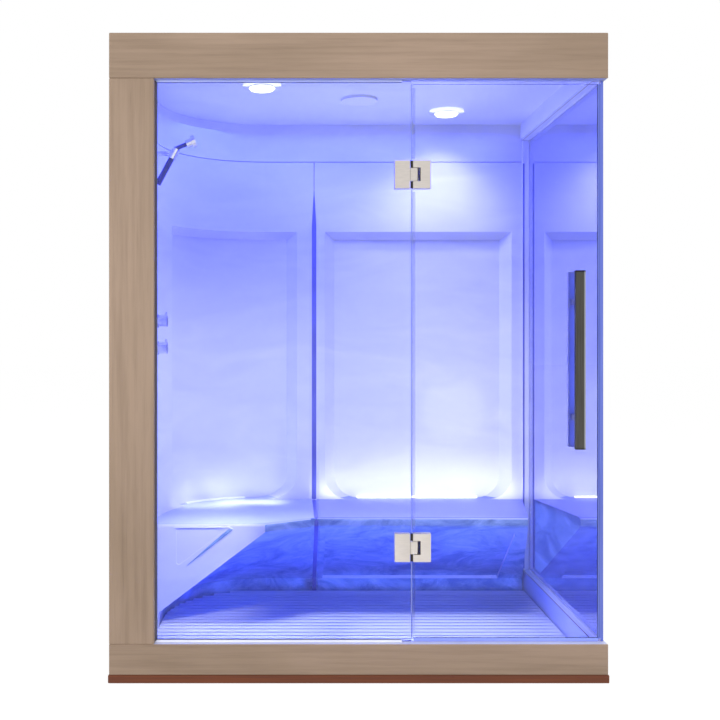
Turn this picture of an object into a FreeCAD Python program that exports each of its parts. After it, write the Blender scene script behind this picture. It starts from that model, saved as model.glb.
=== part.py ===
"""A glazed steam room: a timber-framed cabin with a moulded acrylic interior, two moulded seats,
a fixed front pane, a side pane and a hinged glass door.

Millimetres. +Z is up, +Y points from the door to the back wall, and the origin is on the floor in
the middle of the cabin's footprint.
"""

import FreeCAD, Part
import math
import os
import re

import Sketcher
from FreeCAD import Rotation, Vector

# Driving dimensions: alias, value in millimetres (degrees or a count where the note says so), note
SIZES = [
    ("width", 1612, "outside width of the timber frame"),
    ("depth", 1050, "outside depth of the timber frame"),
    ("height", 2100, "overall height"),
    ("base_high", 26, "dark base board"),
    ("base_proud", 3, "how far the base board stands out all round"),
    ("plinth_high", 99, "timber upstand that carries the glass"),
    ("header_high", 147, "timber fascia round the roof"),
    ("board", 40, "thickness of plinth, stile and fascia boards"),
    ("stile_wide", 145, "front left stile"),
    ("ease", 2, "eased edge of the timber boards"),
    ("outer_skin", 18, "left and back outer panels"),
    ("roof_thick", 12, "roof board"),
    ("roof_sunk", 12, "how far the roof board lies below the fascia's top"),
    ("left_cavity", 75, "outside of the cabin to the left acrylic wall"),
    ("back_cavity", 97, "outside of the cabin to the back acrylic wall"),
    ("shell", 10, "acrylic shell"),
    ("tray_thick", 6, "shower tray floor"),
    ("ceiling_drop", 80, "top of the cabin to the underside of the ceiling"),
    ("ceiling_thick", 6, "ceiling shell"),
    ("skirt_high", 158, "ceiling to the joint above the wall panels"),
    ("seam_gap", 3, "open joint between the acrylic mouldings"),
    ("corner_radius", 400, "rounded back left corner of the cabin"),
    ("left_panel_wide", 609, "left wall to the joint of the two wall panels"),
    ("post_wide", 40, "back right corner post across the cabin"),
    ("post_deep", 107, "back right corner post, front to back"),
    ("recess_deep", 45, "backrest recess"),
    ("recess_bevel", 42, "sloping side of the backrest recess"),
    ("recess_drop", 299, "joint above the wall panels to the top of the backrest recess"),
    ("recess_lintel", 30, "sloping top of the backrest recess"),
    ("recess_margin", 45, "panel edge to the backrest recess"),
    ("recess_corner", 100, "rounded lower corner of the recess"),
    ("recess_turn", 66, "degrees round the corner that the left recess reaches"),
    ("joint_wide", 20, "rolled edge of a wall panel at the joint of the two panels"),
    ("joint_deep", 6, "how far that rolled edge falls back"),
    ("joint_drop", 125, "joint above the wall panels to the start of the rolled edge"),
    ("joint_fade", 150, "height over which the rolled edge grows to its full width"),
    ("joint_spare", 3, "how far the rolled edge's cutting tool stands off the seat"),
    ("seat_level", 422, "seat above the floor"),
    ("seat_deep", 393, "back wall to the seat's front edge"),
    ("corner_seat_deep", 496, "back wall to the corner seat's front edge"),
    ("corner_seat_wide", 415, "left wall to the top of the corner seat's gusset"),
    ("seat_taper", 76, "how far the straight seat's right end falls back at its front edge"),
    ("nose_high", 34, "upright front edge of the seats"),
    ("nose_round", 14, "rounding of the seats' front edge"),
    ("gusset_deep", 4, "sunk triangle in the corner seat's gusset"),
    ("gusset_side", 84, "left wall to the sunk triangle"),
    ("gusset_end", 135, "tip of the gusset to the sunk triangle"),
    ("gusset_round", 10, "rounded corners of the sunk triangle"),
    ("gusset_top", 2, "rounded front edge to the sunk triangle"),
    ("front_bow", 3, "how far the corner seat's front edge bows in"),
    ("kick_high", 58, "upright band under the seats, above the tray"),
    ("kick_set", 20, "how far that band stands in front of the wall"),
    ("rib_wide", 35, "rib at each end of the seat's underside"),
    ("rib_high", 14, "how far the ribs stand out of the underside"),
    ("rib_corner", 50, "rounded upper corner of the underside panel"),
    ("glass_thick", 8, "toughened glass"),
    ("glass_set", 28, "front face of the frame to the glass"),
    ("side_set", 7, "right face of the frame to the side glass"),
    ("channel_deep", 6, "glass channel"),
    ("channel_wall", 2, "wall of the glass channel"),
    ("glazing_gap", 0.3, "clearance of the glass in its channel"),
    ("door_span", 620, "right face of the frame to the door's pivot"),
    ("door_lap", 7, "door glass beyond the pivot"),
    ("door_gap", 6, "gap between door glass and fixed glass"),
    ("door_clear", 12, "gap above and below the door glass"),
    ("strike_gap", 10, "door glass to the side glass"),
    ("seal_thick", 3, "clear edge seal"),
    ("sweep_gap", 2, "door sweep to the plinth"),
    ("seal_gap", 1, "door's edge seal to the strike seal"),
    ("seal_stop", 30, "fixed glass's free edge to the end of its channels"),
    ("hinge_high", 92, "hinge plates"),
    ("fixed_leaf_wide", 50, "hinge plate on the fixed glass"),
    ("door_leaf_wide", 58, "hinge plate on the door"),
    ("leaf_thick", 10, "hinge plate on each face of the glass"),
    ("tongue_high", 42, "hinge tongue"),
    ("knuckle_radius", 13, "round end of the hinge tongue"),
    ("tongue_gap", 3.4, "clearance in front of the hinge tongue"),
    ("tongue_slack", 1, "clearance above and below the hinge tongue"),
    ("tongue_set", 2, "how far the tongue lies behind the plates' faces"),
    ("leaf_set", 17.3, "pivot to the fixed hinge plate"),
    ("leaf_gap", 9.6, "gap between the two hinge plates"),
    ("notch_reach", 36, "pivot to the end of the hinge notch in the fixed glass"),
    ("notch_gap", 2, "hinge tongue's clearance to the door glass"),
    ("notch_slack", 1, "hinge notch above and below the hinge"),
    ("pin_radius", 4, "hinge pin"),
    ("running_gap", 0.3, "radial clearance of turning parts"),
    ("hinge_inset", 307, "plinth or header to the middle of a hinge"),
    ("bar_wide", 34, "door handle bar"),
    ("bar_deep", 16, "door handle bar, front to back"),
    ("bar_long", 577, "door handle bar"),
    ("bar_low", 755, "lower end of the handle above the floor"),
    ("bar_from_edge", 78, "side glass to the middle of the handle"),
    ("stand_off", 26, "glass to the handle bar"),
    ("stand_half", 9, "half the width of a handle stand-off"),
    ("stand_bolt", 5, "radius of the handle bolt"),
    ("stand_inset", 100, "handle end to its stand-off"),
    ("light_x", 363, "ceiling vent to a downlight, across"),
    ("light_y", 192, "ceiling vent to a downlight, front to back"),
    ("vent_x", 40, "ceiling vent right of the cabin's middle"),
    ("bezel_radius", 70, "downlight bezel"),
    ("bezel_high", 7, "downlight bezel below the ceiling"),
    ("lens_radius", 47, "downlight lens"),
    ("lens_drop", 17, "downlight lens below the ceiling"),
    ("lens_gap", 0.5, "clearance round the downlight lens"),
    ("lens_round", 6, "step of the downlight lens"),
    ("round_sides", 32, "count of flats round a ceiling fitting"),
    ("can_high", 42, "downlight body above the ceiling"),
    ("vent_radius", 68, "ceiling vent"),
    ("vent_drop", 10, "ceiling vent below the ceiling"),
    ("vent_duct", 38, "duct above the ceiling vent"),
    ("slat_wide", 28, "floor slat"),
    ("slat_pitch", 36, "floor slat spacing"),
    ("slat_thick", 8, "floor slat"),
    ("bearer_wide", 40, "bearer under the slats"),
    ("bearer_thick", 6, "bearer under the slats"),
    ("floor_gap", 6, "slats to the walls"),
    ("drain_in", 436, "right plinth to the drain"),
    ("drain_y", 210, "drain in front of the cabin's middle"),
    ("drain_radius", 20, "bore of the waste outlet"),
    ("drain_flange", 45, "waste flange"),
    ("drain_wall", 4, "wall of the waste body"),
    ("valve_y", 85, "shower fittings in front of the cabin's middle"),
    ("valve_low", 1075, "lower shower control above the floor"),
    ("valve_rise", 100, "lower to upper shower control"),
    ("knob_radius", 25, "shower control"),
    ("knob_long", 46, "shower control"),
    ("rose_half", 32, "half the width of a shower control's wall plate"),
    ("rose_thick", 7, "wall plate of a shower control"),
    ("spindle_radius", 7, "spindle of a shower control"),
    ("knob_gap", 1, "wall plate to the control"),
    ("grip_sides", 12, "count of flats round a shower control or hand shower"),
    ("knob_collar", 13, "wide collar of a shower control"),
    ("knob_step", 3, "collar to the narrower grip of a shower control"),
    ("lever_wide", 8, "small lever on a shower control"),
    ("lever_long", 9, "how far the lever stands out"),
    ("cartridge_half", 24, "half the width of a valve cartridge"),
    ("cartridge_deep", 20, "valve cartridge behind the wall"),
    ("wall_hole_gap", 1, "clearance of the wall's holes"),
    ("bracket_drop", 225, "ceiling to the hand shower's bracket"),
    ("bracket_reach", 78, "left wall to the hand shower's holder"),
    ("holder_reach", 30, "bracket arm's end to the middle of the holder"),
    ("bracket_half", 22, "half the width of the bracket's wall plate"),
    ("bracket_thick", 8, "bracket's wall plate"),
    ("bracket_arm", 9, "radius of the bracket's arm"),
    ("clasp_high", 40, "hand shower's holder"),
    ("clasp_wall", 4, "wall of the hand shower's holder"),
    ("grip_radius", 11, "hand shower grip"),
    ("grip_long", 128, "hand shower grip below its holder"),
    ("grip_lean", 28, "degrees that the hand shower leans from the wall"),
    ("grip_rise", 24, "hand shower grip above the middle of its holder"),
    ("neck_lean", 68, "degrees that the hand shower's neck leans from the wall"),
    ("neck_radius", 8, "hand shower neck"),
    ("neck_long", 38, "grip to the hand shower's head"),
    ("head_radius", 23, "hand shower head"),
    ("head_step", 7, "rim to the narrower back of the hand shower head"),
    ("head_back", 22, "back of the hand shower head"),
    ("head_rim", 14, "rim of the hand shower head"),
    ("batten", 42, "timber batten behind the panels"),
    ("nozzle_half", 34, "half the width of the steam outlet"),
    ("nozzle_deep", 22, "steam outlet"),
    ("nozzle_level", 330, "steam outlet above the floor"),
    ("nozzle_y", 260, "steam outlet in front of the cabin's middle"),
    ("boiler_wide", 300, "steam generator"),
    ("boiler_deep", 170, "steam generator, front to back"),
    ("boiler_high", 150, "steam generator"),
    ("boiler_level", 244, "steam generator above the floor"),
    ("boiler_gap", 20, "steam generator to the batten"),
    ("pipe_radius", 9, "steam pipe"),
    ("pipe_clear", 13, "steam pipe to the panel and batten beside it"),
    ("boiler_wall", 3, "casing of the steam generator"),
    ("inlet_radius", 10.5, "bore of the half-inch water inlet"),
    ("inlet_wall", 4, "wall of the water inlet"),
    ("inlet_deep", 28, "depth of the water inlet"),
    ("cable_radius", 10, "hole for the supply cable's gland"),
    ("led_wide", 12, "light strip under the backrests"),
    ("led_high", 6, "light strip under the backrests"),
    ("beyond", 5, "how far a cutting tool runs past the face that it cuts"),
    ("graze", 1, "how far a shallow recess's cutting tool stands out of the face"),
    ("least_edge", 1, "shortest edge that a hollow keeps"),
]
ALIASES = {alias for alias, _, _ in SIZES}

doc = FreeCAD.newDocument("SteamRoom")
sheet = doc.addObject("Spreadsheet::Sheet", "Spec")
for row, (alias, value, note) in enumerate(SIZES, 1):
    sheet.set(f"A{row}", alias)
    sheet.set(f"B{row}", str(value))
    sheet.set(f"C{row}", note)
    sheet.setAlias(f"B{row}", alias)
doc.recompute()

# Planes that several pieces share, as expressions of the sheet's sizes
LEFT, RIGHT = "(-width/2)", "(width/2)"
FRONT, BACK = "(-depth/2)", "(depth/2)"
PLINTH_TOP = "(base_high+plinth_high)"
HEADER_BOTTOM = "(height-header_high)"
FRAME_REAR = f"({FRONT}+board)"
RIGHT_INNER = f"({RIGHT}-board)"
STILE_RIGHT = f"({LEFT}+stile_wide)"
POST_LEFT = f"({RIGHT}-post_wide)"
POST_FRONT = f"({BACK}-post_deep)"
WALL_LEFT = f"({LEFT}+left_cavity)"
WALL_BACK = f"({BACK}-back_cavity)"
TRAY_TOP = "(base_high+tray_thick)"
GLASS_FRONT = f"({FRONT}+glass_set)"
GLASS_REAR = f"({GLASS_FRONT}+glass_thick)"
GLASS_MID = f"({GLASS_FRONT}+glass_thick/2)"
SIDE_INNER = f"({RIGHT}-side_set-glass_thick)"
SIDE_OUTER = f"({RIGHT}-side_set)"
HINGE_X = f"({RIGHT}-door_span)"
DOOR_LEFT = f"({HINGE_X}-door_lap)"
DOOR_RIGHT = f"({SIDE_INNER}-strike_gap)"
DOOR_BOTTOM = f"({PLINTH_TOP}+door_clear)"
DOOR_TOP = f"({HEADER_BOTTOM}-door_clear)"
FIXED_RIGHT = f"({DOOR_LEFT}-door_gap)"
BAR_X = f"({SIDE_INNER}-bar_from_edge)"
SPLIT = f"({WALL_LEFT}+left_panel_wide)"
DRAIN_X, DRAIN_Y = f"({RIGHT_INNER}-drain_in)", "(-drain_y)"
HINGE_LEVELS = {"lower": f"({PLINTH_TOP}+hinge_inset)", "upper": f"({HEADER_BOTTOM}-hinge_inset)"}
CEILING = "(height-ceiling_drop)"
SEAM = f"({CEILING}-skirt_high)"
RECESS_TOP = f"({SEAM}-recess_drop)"
BRACKET = f"({CEILING}-bracket_drop)"

PIECES = []


def spec(text):
    """The expression with every size's alias written as a cell of the sheet."""
    return re.sub(r"[a-z_]\w*", lambda m: f"Spec.{m[0]}" if m[0] in ALIASES else m[0], text)


def mm(text):
    """The value of an expression of the sheet's sizes."""
    return float(sheet.evalExpression(spec(text)))


def bind(obj, **paths):
    """Ties properties to expressions; two underscores in a name stand for a dot."""
    for path, text in paths.items():
        obj.setExpression(path.replace("__", "."), spec(text))
    return obj


def place(obj, x="0", y="0", z="0", turn=None):
    """Puts an object at bound coordinates, turned by a fixed rotation."""
    if turn is not None:
        obj.Placement = FreeCAD.Placement(Vector(), turn)
    return bind(obj, Placement__Base__x=x, Placement__Base__y=y, Placement__Base__z=z)


def piece(obj, label):
    """Names a finished piece, so that it is written out."""
    obj.Label = label
    PIECES.append(obj)
    return obj


def block(name, x, y, z):
    """A rectangular block between pairs of bound planes."""
    made = doc.addObject("Part::Box", name)
    bind(made, Length=f"({x[1]})-({x[0]})", Width=f"({y[1]})-({y[0]})", Height=f"({z[1]})-({z[0]})")
    return place(made, x[0], y[0], z[0])


def rod(name, radius, start, end, axis, at):
    """A cylinder along an axis between two bound planes; at gives its other two coordinates."""
    made = doc.addObject("Part::Cylinder", name)
    bind(made, Radius=radius, Height=f"({end})-({start})")
    if axis == "x":
        return place(made, start, *at, turn=Rotation(Vector(0, 1, 0), 90))
    if axis == "y":
        return place(made, at[0], start, at[1], turn=Rotation(Vector(1, 0, 0), -90))
    return place(made, *at, start)


def prism(name, radius, start, end, sides="grip_sides", at=("0", "0")):
    """A many-sided upright bar between two bound heights."""
    made = doc.addObject("Part::Prism", name)
    bind(made, Polygon=sides, Circumradius=radius, Height=f"({end})-({start})")
    return place(made, *at, start)


def cut(name, base, *tools):
    """The base without the tools."""
    made = doc.addObject("Part::Cut", name)
    made.Base = base
    made.Tool = tools[0] if len(tools) == 1 else join(name + "Tools", *tools)
    return made


def join(name, *shapes):
    """One solid, or a group of solids, from several shapes."""
    made = doc.addObject("Part::MultiFuse", name)
    made.Shapes = list(shapes)
    return made


def free_shape(name, shape):
    """A piece whose form is worked out from the sheet's values."""
    made = doc.addObject("Part::Feature", name)
    made.Shape = shape
    return made


def outline(body, plane_role, points):
    """A closed sketch of straight lines whose corners lie at bound coordinates."""
    sketch = body.newObject("Sketcher::SketchObject", body.Name + "Sketch")
    plane = next(f for f in body.Origin.OriginFeatures if f.Role == plane_role)
    sketch.AttachmentSupport = [(plane, "")]
    sketch.MapMode = "FlatFace"
    corners = [Vector(mm(x), mm(y), 0) for x, y in points]
    count = len(corners)
    for i in range(count):
        sketch.addGeometry(Part.LineSegment(corners[i], corners[(i + 1) % count]), False)
    for i in range(count):
        sketch.addConstraint(Sketcher.Constraint("Coincident", i, 2, (i + 1) % count, 1))
    for i, point in enumerate(points):
        for kind, text in zip(("DistanceX", "DistanceY"), point):
            k = sketch.addConstraint(Sketcher.Constraint(kind, -1, 1, i, 1, mm(text)))
            sketch.setExpression(f"Constraints[{k}]", spec(text))
    return sketch


def board(label, x, y, z):
    """A timber board: a padded rectangle with all its edges eased."""
    body = doc.addObject("PartDesign::Body", label)
    sketch = outline(body, "XY_Plane", [(x[0], y[0]), (x[1], y[0]), (x[1], y[1]), (x[0], y[1])])
    pad = body.newObject("PartDesign::Pad", label + "Pad")
    pad.Profile = sketch
    bind(pad, Length=f"({z[1]})-({z[0]})")
    doc.recompute()
    eased = body.newObject("PartDesign::Chamfer", label + "Ease")
    eased.Base = (pad, ["Edge1"])
    eased.UseAllEdges = True
    bind(eased, Size="ease")
    place(body, z=z[0])
    return piece(body, label)


def wire(*edges):
    return Part.Wire([e if isinstance(e, Part.Edge) else e.toShape() for e in edges])


def segment(a, b):
    return Part.LineSegment(Vector(*a), Vector(*b))


def arc(a, through, b):
    return Part.Arc(Vector(*a), Vector(*through), Vector(*b))


def polyline(*points):
    return [segment(a, b) for a, b in zip(points, points[1:])]


def closed(points):
    return Part.makePolygon(points + points[:1])


def flat_sided(start, end):
    """A solid with flat sides between two polygons with the same count of corners."""
    following = list(zip(start[1:] + start[:1], end[1:] + end[:1]))
    sides = [closed([a, next_a, next_b, b]) for a, b, (next_a, next_b) in zip(start, end, following)]
    faces = [Part.Face(outline_wire) for outline_wire in [closed(start), closed(end)] + sides]
    made = Part.makeSolid(Part.makeShell(faces))
    if made.Volume < 0:
        made.reverse()
    return made


# Timber frame

base = board("base_slab", (f"{LEFT}-base_proud", f"{RIGHT}+base_proud"),
             (f"{FRONT}-base_proud", f"{BACK}+base_proud"), ("0", "base_high"))
PIECES.remove(base)
WASTE_OUTER = "(drain_radius+drain_wall)"
base_hole = rod("base_hole", WASTE_OUTER, "-1", "base_high+1", "z", (DRAIN_X, DRAIN_Y))
piece(cut("base_cut", base, base_hole), "base_board")

board("plinth_front", (LEFT, RIGHT), (FRONT, FRAME_REAR), ("base_high", PLINTH_TOP))
board("plinth_right", (RIGHT_INNER, RIGHT), (FRAME_REAR, BACK), ("base_high", PLINTH_TOP))
board("front_stile", (LEFT, STILE_RIGHT), (FRONT, FRAME_REAR), (PLINTH_TOP, HEADER_BOTTOM))
board("left_outer_panel", (LEFT, f"{LEFT}+outer_skin"), (FRAME_REAR, BACK), ("base_high", HEADER_BOTTOM))
board("corner_post", (POST_LEFT, RIGHT), (POST_FRONT, BACK), (PLINTH_TOP, HEADER_BOTTOM))
board("header_front", (LEFT, RIGHT), (FRONT, FRAME_REAR), (HEADER_BOTTOM, "height"))
board("header_right", (RIGHT_INNER, RIGHT), (FRAME_REAR, BACK), (HEADER_BOTTOM, "height"))
board("header_left", (LEFT, f"{LEFT}+board"), (FRAME_REAR, BACK), (HEADER_BOTTOM, "height"))
board("header_back", (f"{LEFT}+board", RIGHT_INNER), (f"{BACK}-board", BACK), (HEADER_BOTTOM, "height"))
piece(block("roof", (f"{LEFT}+board", RIGHT_INNER), (FRAME_REAR, f"{BACK}-board"),
            ("height-roof_sunk-roof_thick", "height-roof_sunk")), "roof_panel")

# Plain back panel, drilled for the water inlet and the supply cable of the steam generator

CAVITY_LEFT = f"({LEFT}+outer_skin)"
CAVITY_BACK = f"({BACK}-outer_skin)"
BOILER_LEFT = f"({SPLIT}-batten/2-boiler_wide-boiler_gap)"
INLET_X = f"({BOILER_LEFT}+boiler_wide/4)"
CABLE_X = f"({BOILER_LEFT}+boiler_wide*3/4)"
BOILER_MID = "(boiler_level+boiler_high/2)"
back_sheet = block("back_sheet", (CAVITY_LEFT, POST_LEFT), (CAVITY_BACK, BACK), ("base_high", HEADER_BOTTOM))
inlet_hole = rod("inlet_hole", "inlet_radius+inlet_wall+running_gap", f"{CAVITY_BACK}-1", f"{BACK}+1", "y",
                 (INLET_X, BOILER_MID))
cable_hole = rod("cable_hole", "cable_radius", f"{CAVITY_BACK}-1", f"{BACK}+1", "y", (CABLE_X, BOILER_MID))
piece(cut("back_cut", back_sheet, inlet_hole, cable_hole), "back_panel")

WALL_SKIN_LEFT = f"({WALL_LEFT}-shell)"
WALL_SKIN_BACK = f"({WALL_BACK}+shell)"
battens = [
    block("batten_front", (CAVITY_LEFT, WALL_SKIN_LEFT), (FRAME_REAR, f"{FRAME_REAR}+batten"),
          ("base_high", HEADER_BOTTOM)),
    block("batten_corner", (CAVITY_LEFT, f"{CAVITY_LEFT}+batten"), (f"{CAVITY_BACK}-batten", CAVITY_BACK),
          ("base_high", HEADER_BOTTOM)),
    block("batten_seam", (f"{SPLIT}-batten/2", f"{SPLIT}+batten/2"), (WALL_SKIN_BACK, CAVITY_BACK),
          ("base_high", HEADER_BOTTOM)),
    block("batten_right", (f"{POST_LEFT}-recess_margin+shell+1", POST_LEFT), (WALL_SKIN_BACK, CAVITY_BACK),
          ("base_high", HEADER_BOTTOM)),
]
piece(join("battens", *battens), "wall_battens")

# Shower tray, waste and floor slats

tray = block("tray_sheet", (WALL_SKIN_LEFT, RIGHT_INNER), (FRAME_REAR, WALL_SKIN_BACK),
             ("base_high", TRAY_TOP))
tray_hole = rod("tray_hole", WASTE_OUTER, "base_high-1", f"{TRAY_TOP}+1", "z", (DRAIN_X, DRAIN_Y))
piece(cut("tray_cut", tray, tray_hole), "shower_tray")

GRATE_UNDER = f"({TRAY_TOP}+drain_wall)"
DRAIN_AT = (DRAIN_X, DRAIN_Y)
waste_flange = block("waste_flange", (f"{DRAIN_X}-drain_flange", f"{DRAIN_X}+drain_flange"),
                     (f"{DRAIN_Y}-drain_flange", f"{DRAIN_Y}+drain_flange"), (TRAY_TOP, GRATE_UNDER))
waste_body = join("waste_body", waste_flange, rod("waste_tube", WASTE_OUTER, "0", GRATE_UNDER, "z", DRAIN_AT))
waste_bore = rod("waste_bore", "drain_radius", "-1", f"{GRATE_UNDER}+1", "z", DRAIN_AT)
piece(cut("waste", waste_body, waste_bore), "waste_outlet")

SLAT_UNDER = f"({TRAY_TOP}+bearer_thick)"
SLAT_TOP = f"({SLAT_UNDER}+slat_thick)"
KICK_LEFT = f"({WALL_LEFT}+kick_set)"
KICK_BACK = f"({WALL_BACK}-kick_set)"


def kick_edge(y):
    """Left end of the free floor at a given depth: straight along the wall, then round the corner."""
    middle_y = mm(WALL_BACK) - mm("corner_radius")
    radius = mm("corner_radius") - mm("kick_set")
    if y <= middle_y:
        return mm(KICK_LEFT)
    return mm(WALL_LEFT) + mm("corner_radius") - math.sqrt(max(radius**2 - (y - middle_y) ** 2, 0))


def floor_slats():
    """Slats across the cabin, each cut short of the rounded corner, and clear of the waste."""
    slats = []
    gap, wide = mm("floor_gap"), mm("slat_wide")
    low, high = mm(SLAT_UNDER), mm("slat_thick")
    y = mm(FRAME_REAR) + gap
    while y + wide < mm(KICK_BACK) - gap:
        left = kick_edge(y + wide) + gap
        slat = Part.makeBox(mm(RIGHT_INNER) - gap - left, wide, high, Vector(left, y, low))
        slats.append(slat)
        y += mm("slat_pitch")
    return Part.makeCompound(slats)


def slat_bearers():
    """Flat bearers on the tray, running front to back under the slats."""
    bearers = []
    wide, low = mm("bearer_wide"), mm(TRAY_TOP)
    left, right = mm("corner_radius") + mm(WALL_LEFT), mm(RIGHT_INNER) - mm("floor_gap") - wide
    places = [mm(KICK_LEFT) + mm("floor_gap"), left, (left + mm(DRAIN_X)) / 2, right]
    for number, x in enumerate(places):
        back = mm(WALL_BACK) - mm("corner_radius") if number == 0 else mm(KICK_BACK) - mm("floor_gap")
        front = mm(FRAME_REAR) + mm("floor_gap")
        bearers.append(Part.makeBox(wide, back - front, mm("bearer_thick"), Vector(x, front, low)))
    return Part.makeCompound(bearers)


piece(free_shape("slats", floor_slats()), "floor_slats")
piece(free_shape("bearers", slat_bearers()), "slat_bearers")

# Moulded acrylic wall panels


def wall_line(offset, z, end_x, start_y):
    """The acrylic wall's plan line, moved outwards by an offset: along the back, round, and forward."""
    back, left = mm(WALL_BACK) + offset, mm(WALL_LEFT) - offset
    radius = mm("corner_radius") + offset
    mid_x, mid_y = mm(WALL_LEFT) + mm("corner_radius"), mm(WALL_BACK) - mm("corner_radius")
    slant = radius * math.sqrt(0.5)
    return [
        segment((end_x, back, z), (mid_x, back, z)),
        arc((mid_x, back, z), (mid_x - slant, mid_y + slant, z), (left, mid_y, z)),
        segment((left, mid_y, z), (left, start_y, z)),
    ]


def curved_slab(inner, outer, end_x, start_y, low, high):
    """A wall that follows the plan line between two offsets."""
    near, far = wall_line(inner, low, end_x, start_y), wall_line(outer, low, end_x, start_y)
    ends = [segment(near[-1].EndPoint[:], far[-1].EndPoint[:]),
            segment(near[0].StartPoint[:], far[0].StartPoint[:])]
    outline_wire = Part.Wire(Part.__sortEdges__([e.toShape() for e in near + far + ends]))
    return Part.Face(outline_wire).extrude(Vector(0, 0, high - low))


def backrest(x0, x1, y):
    """The outline of a backrest recess in the wall plane, with its lower corners rounded."""
    low, high, r = mm("seat_level"), y[1], mm("recess_corner")
    depth = y[0]
    k = r * (1 - math.sqrt(0.5))
    return wire(
        segment((x0 + r, depth, low), (x1 - r, depth, low)),
        arc((x1 - r, depth, low), (x1 - k, depth, low + k), (x1, depth, low + r)),
        segment((x1, depth, low + r), (x1, depth, high)),
        segment((x1, depth, high), (x0, depth, high)),
        segment((x0, depth, high), (x0, depth, low + r)),
        arc((x0, depth, low + r), (x0 + k, depth, low + k), (x0 + r, depth, low)),
    )


def seat_corners(x, inset=0, thick=0):
    """Side outline of the straight seat; the hollow inside it is inset from the faces that show."""
    front, kick = mm(WALL_BACK) - mm("seat_deep"), mm(KICK_BACK)
    nose, kick_top = mm("seat_level") - mm("nose_high"), mm(TRAY_TOP) + mm("kick_high")
    rise = (nose - kick_top) / (kick - front)
    lift = thick * math.hypot(1, rise) - inset * rise
    top = mm("seat_level") - inset
    past = mm("beyond") if inset else 0
    back, low = mm(WALL_SKIN_BACK) + past, mm(TRAY_TOP) - past
    corners = [(back, top), (front + inset, top), (front + inset, min(nose + lift, top - mm("least_edge"))),
               (kick + inset, kick_top + lift), (kick + inset, low), (back, low)]
    return [Vector(x, y, z) for y, z in corners]


def underside_panel(x0, x1):
    """The shallow panel between the ribs of the seat's sloping underside."""
    rib, high = mm("rib_wide"), mm("rib_high")
    front = mm(WALL_BACK) - mm("seat_deep")
    nose, kick_top = mm("seat_level") - mm("nose_high"), mm(TRAY_TOP) + mm("kick_high")
    top, foot = Vector(0, front, nose), Vector(0, mm(KICK_BACK), kick_top)
    slope = (foot - top).normalize()
    inward = Vector(0, -slope.z, slope.y).normalize()
    if inward.z < 0:
        inward = -inward
    start, length = top + slope * rib, (foot - top).Length - rib
    tool = Part.makeBox(x1 - x0 - 2 * rib, length, 2 * high)
    tool = tool.makeFillet(mm("rib_corner"), [e for e in tool.Edges if e.Length < 2 * high + 0.1
                                              and e.CenterOfMass.y < 1])
    turn = FreeCAD.Placement(FreeCAD.Matrix(1, 0, 0, x0 + rib, 0, slope.y, inward.y, start.y,
                                            0, slope.z, inward.z, start.z, 0, 0, 0, 1))
    moved = tool.copy()
    moved.Placement = turn
    moved.translate(inward * -high)
    return moved


def seat_wedge(x1, inset=0):
    """What the slanted right end of the straight seat leaves free beside it."""
    wall, front, over = mm(WALL_BACK), mm(WALL_BACK) - mm("seat_deep"), mm("beyond")
    slant = mm("seat_taper") / mm("seat_deep")
    low = mm(TRAY_TOP) - 2 * over
    near, far = x1 - inset, x1 - inset - mm("seat_taper") - over * slant
    corners = [(near, wall), (x1 + over, wall), (x1 + over, front - over), (far, front - over)]
    face = Part.Face(closed([Vector(x, y, low) for x, y in corners]))
    return face.extrude(Vector(0, 0, mm("seat_level") + over - low))


def rolled_wall_edge(x, side):
    """What a wall panel's rolled upright edge leaves free at the joint; side is 1 right of it, -1 left."""
    wall, low, top = mm(WALL_BACK), mm("seat_level"), mm(SEAM) - mm("joint_drop")
    wide, deep, over = mm("joint_wide"), mm("joint_deep"), mm("beyond")

    def section(z, share):
        at = x + side * wide * share
        back = wall + deep * share
        corners = [(at + side * over * wide / deep, wall - over),
                   (x - side * over, back + over * deep / wide), (x - side * over, wall - over)]
        return [Vector(*corner, z) for corner in corners]

    full = top - mm("joint_fade")
    return [flat_sided(section(low, 1), section(full, 1)), flat_sided(section(full, 1), section(top, 0))]


def rolled_seat_edge(x, side):
    """What the rolled edge of a seat leaves free at the joint."""
    wall, front = mm(WALL_BACK), mm(WALL_BACK) - mm("seat_deep")
    wide, deep, over, spare = mm("joint_wide"), mm("joint_deep"), mm("beyond"), mm("joint_spare")
    end = deep + over * (deep + spare) / wide
    kept = flat_sided(seat_corners(x + side * wide, -spare, -spare), seat_corners(x - side * over, end, end))
    low, left = mm(TRAY_TOP), min(x - side * over, x + side * wide)
    zone = Part.makeBox(wide + over, wall - front + 2 * over, mm("seat_level") + over - low,
                        Vector(left, front - 2 * over, low))
    return zone.cut(kept)


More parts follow.
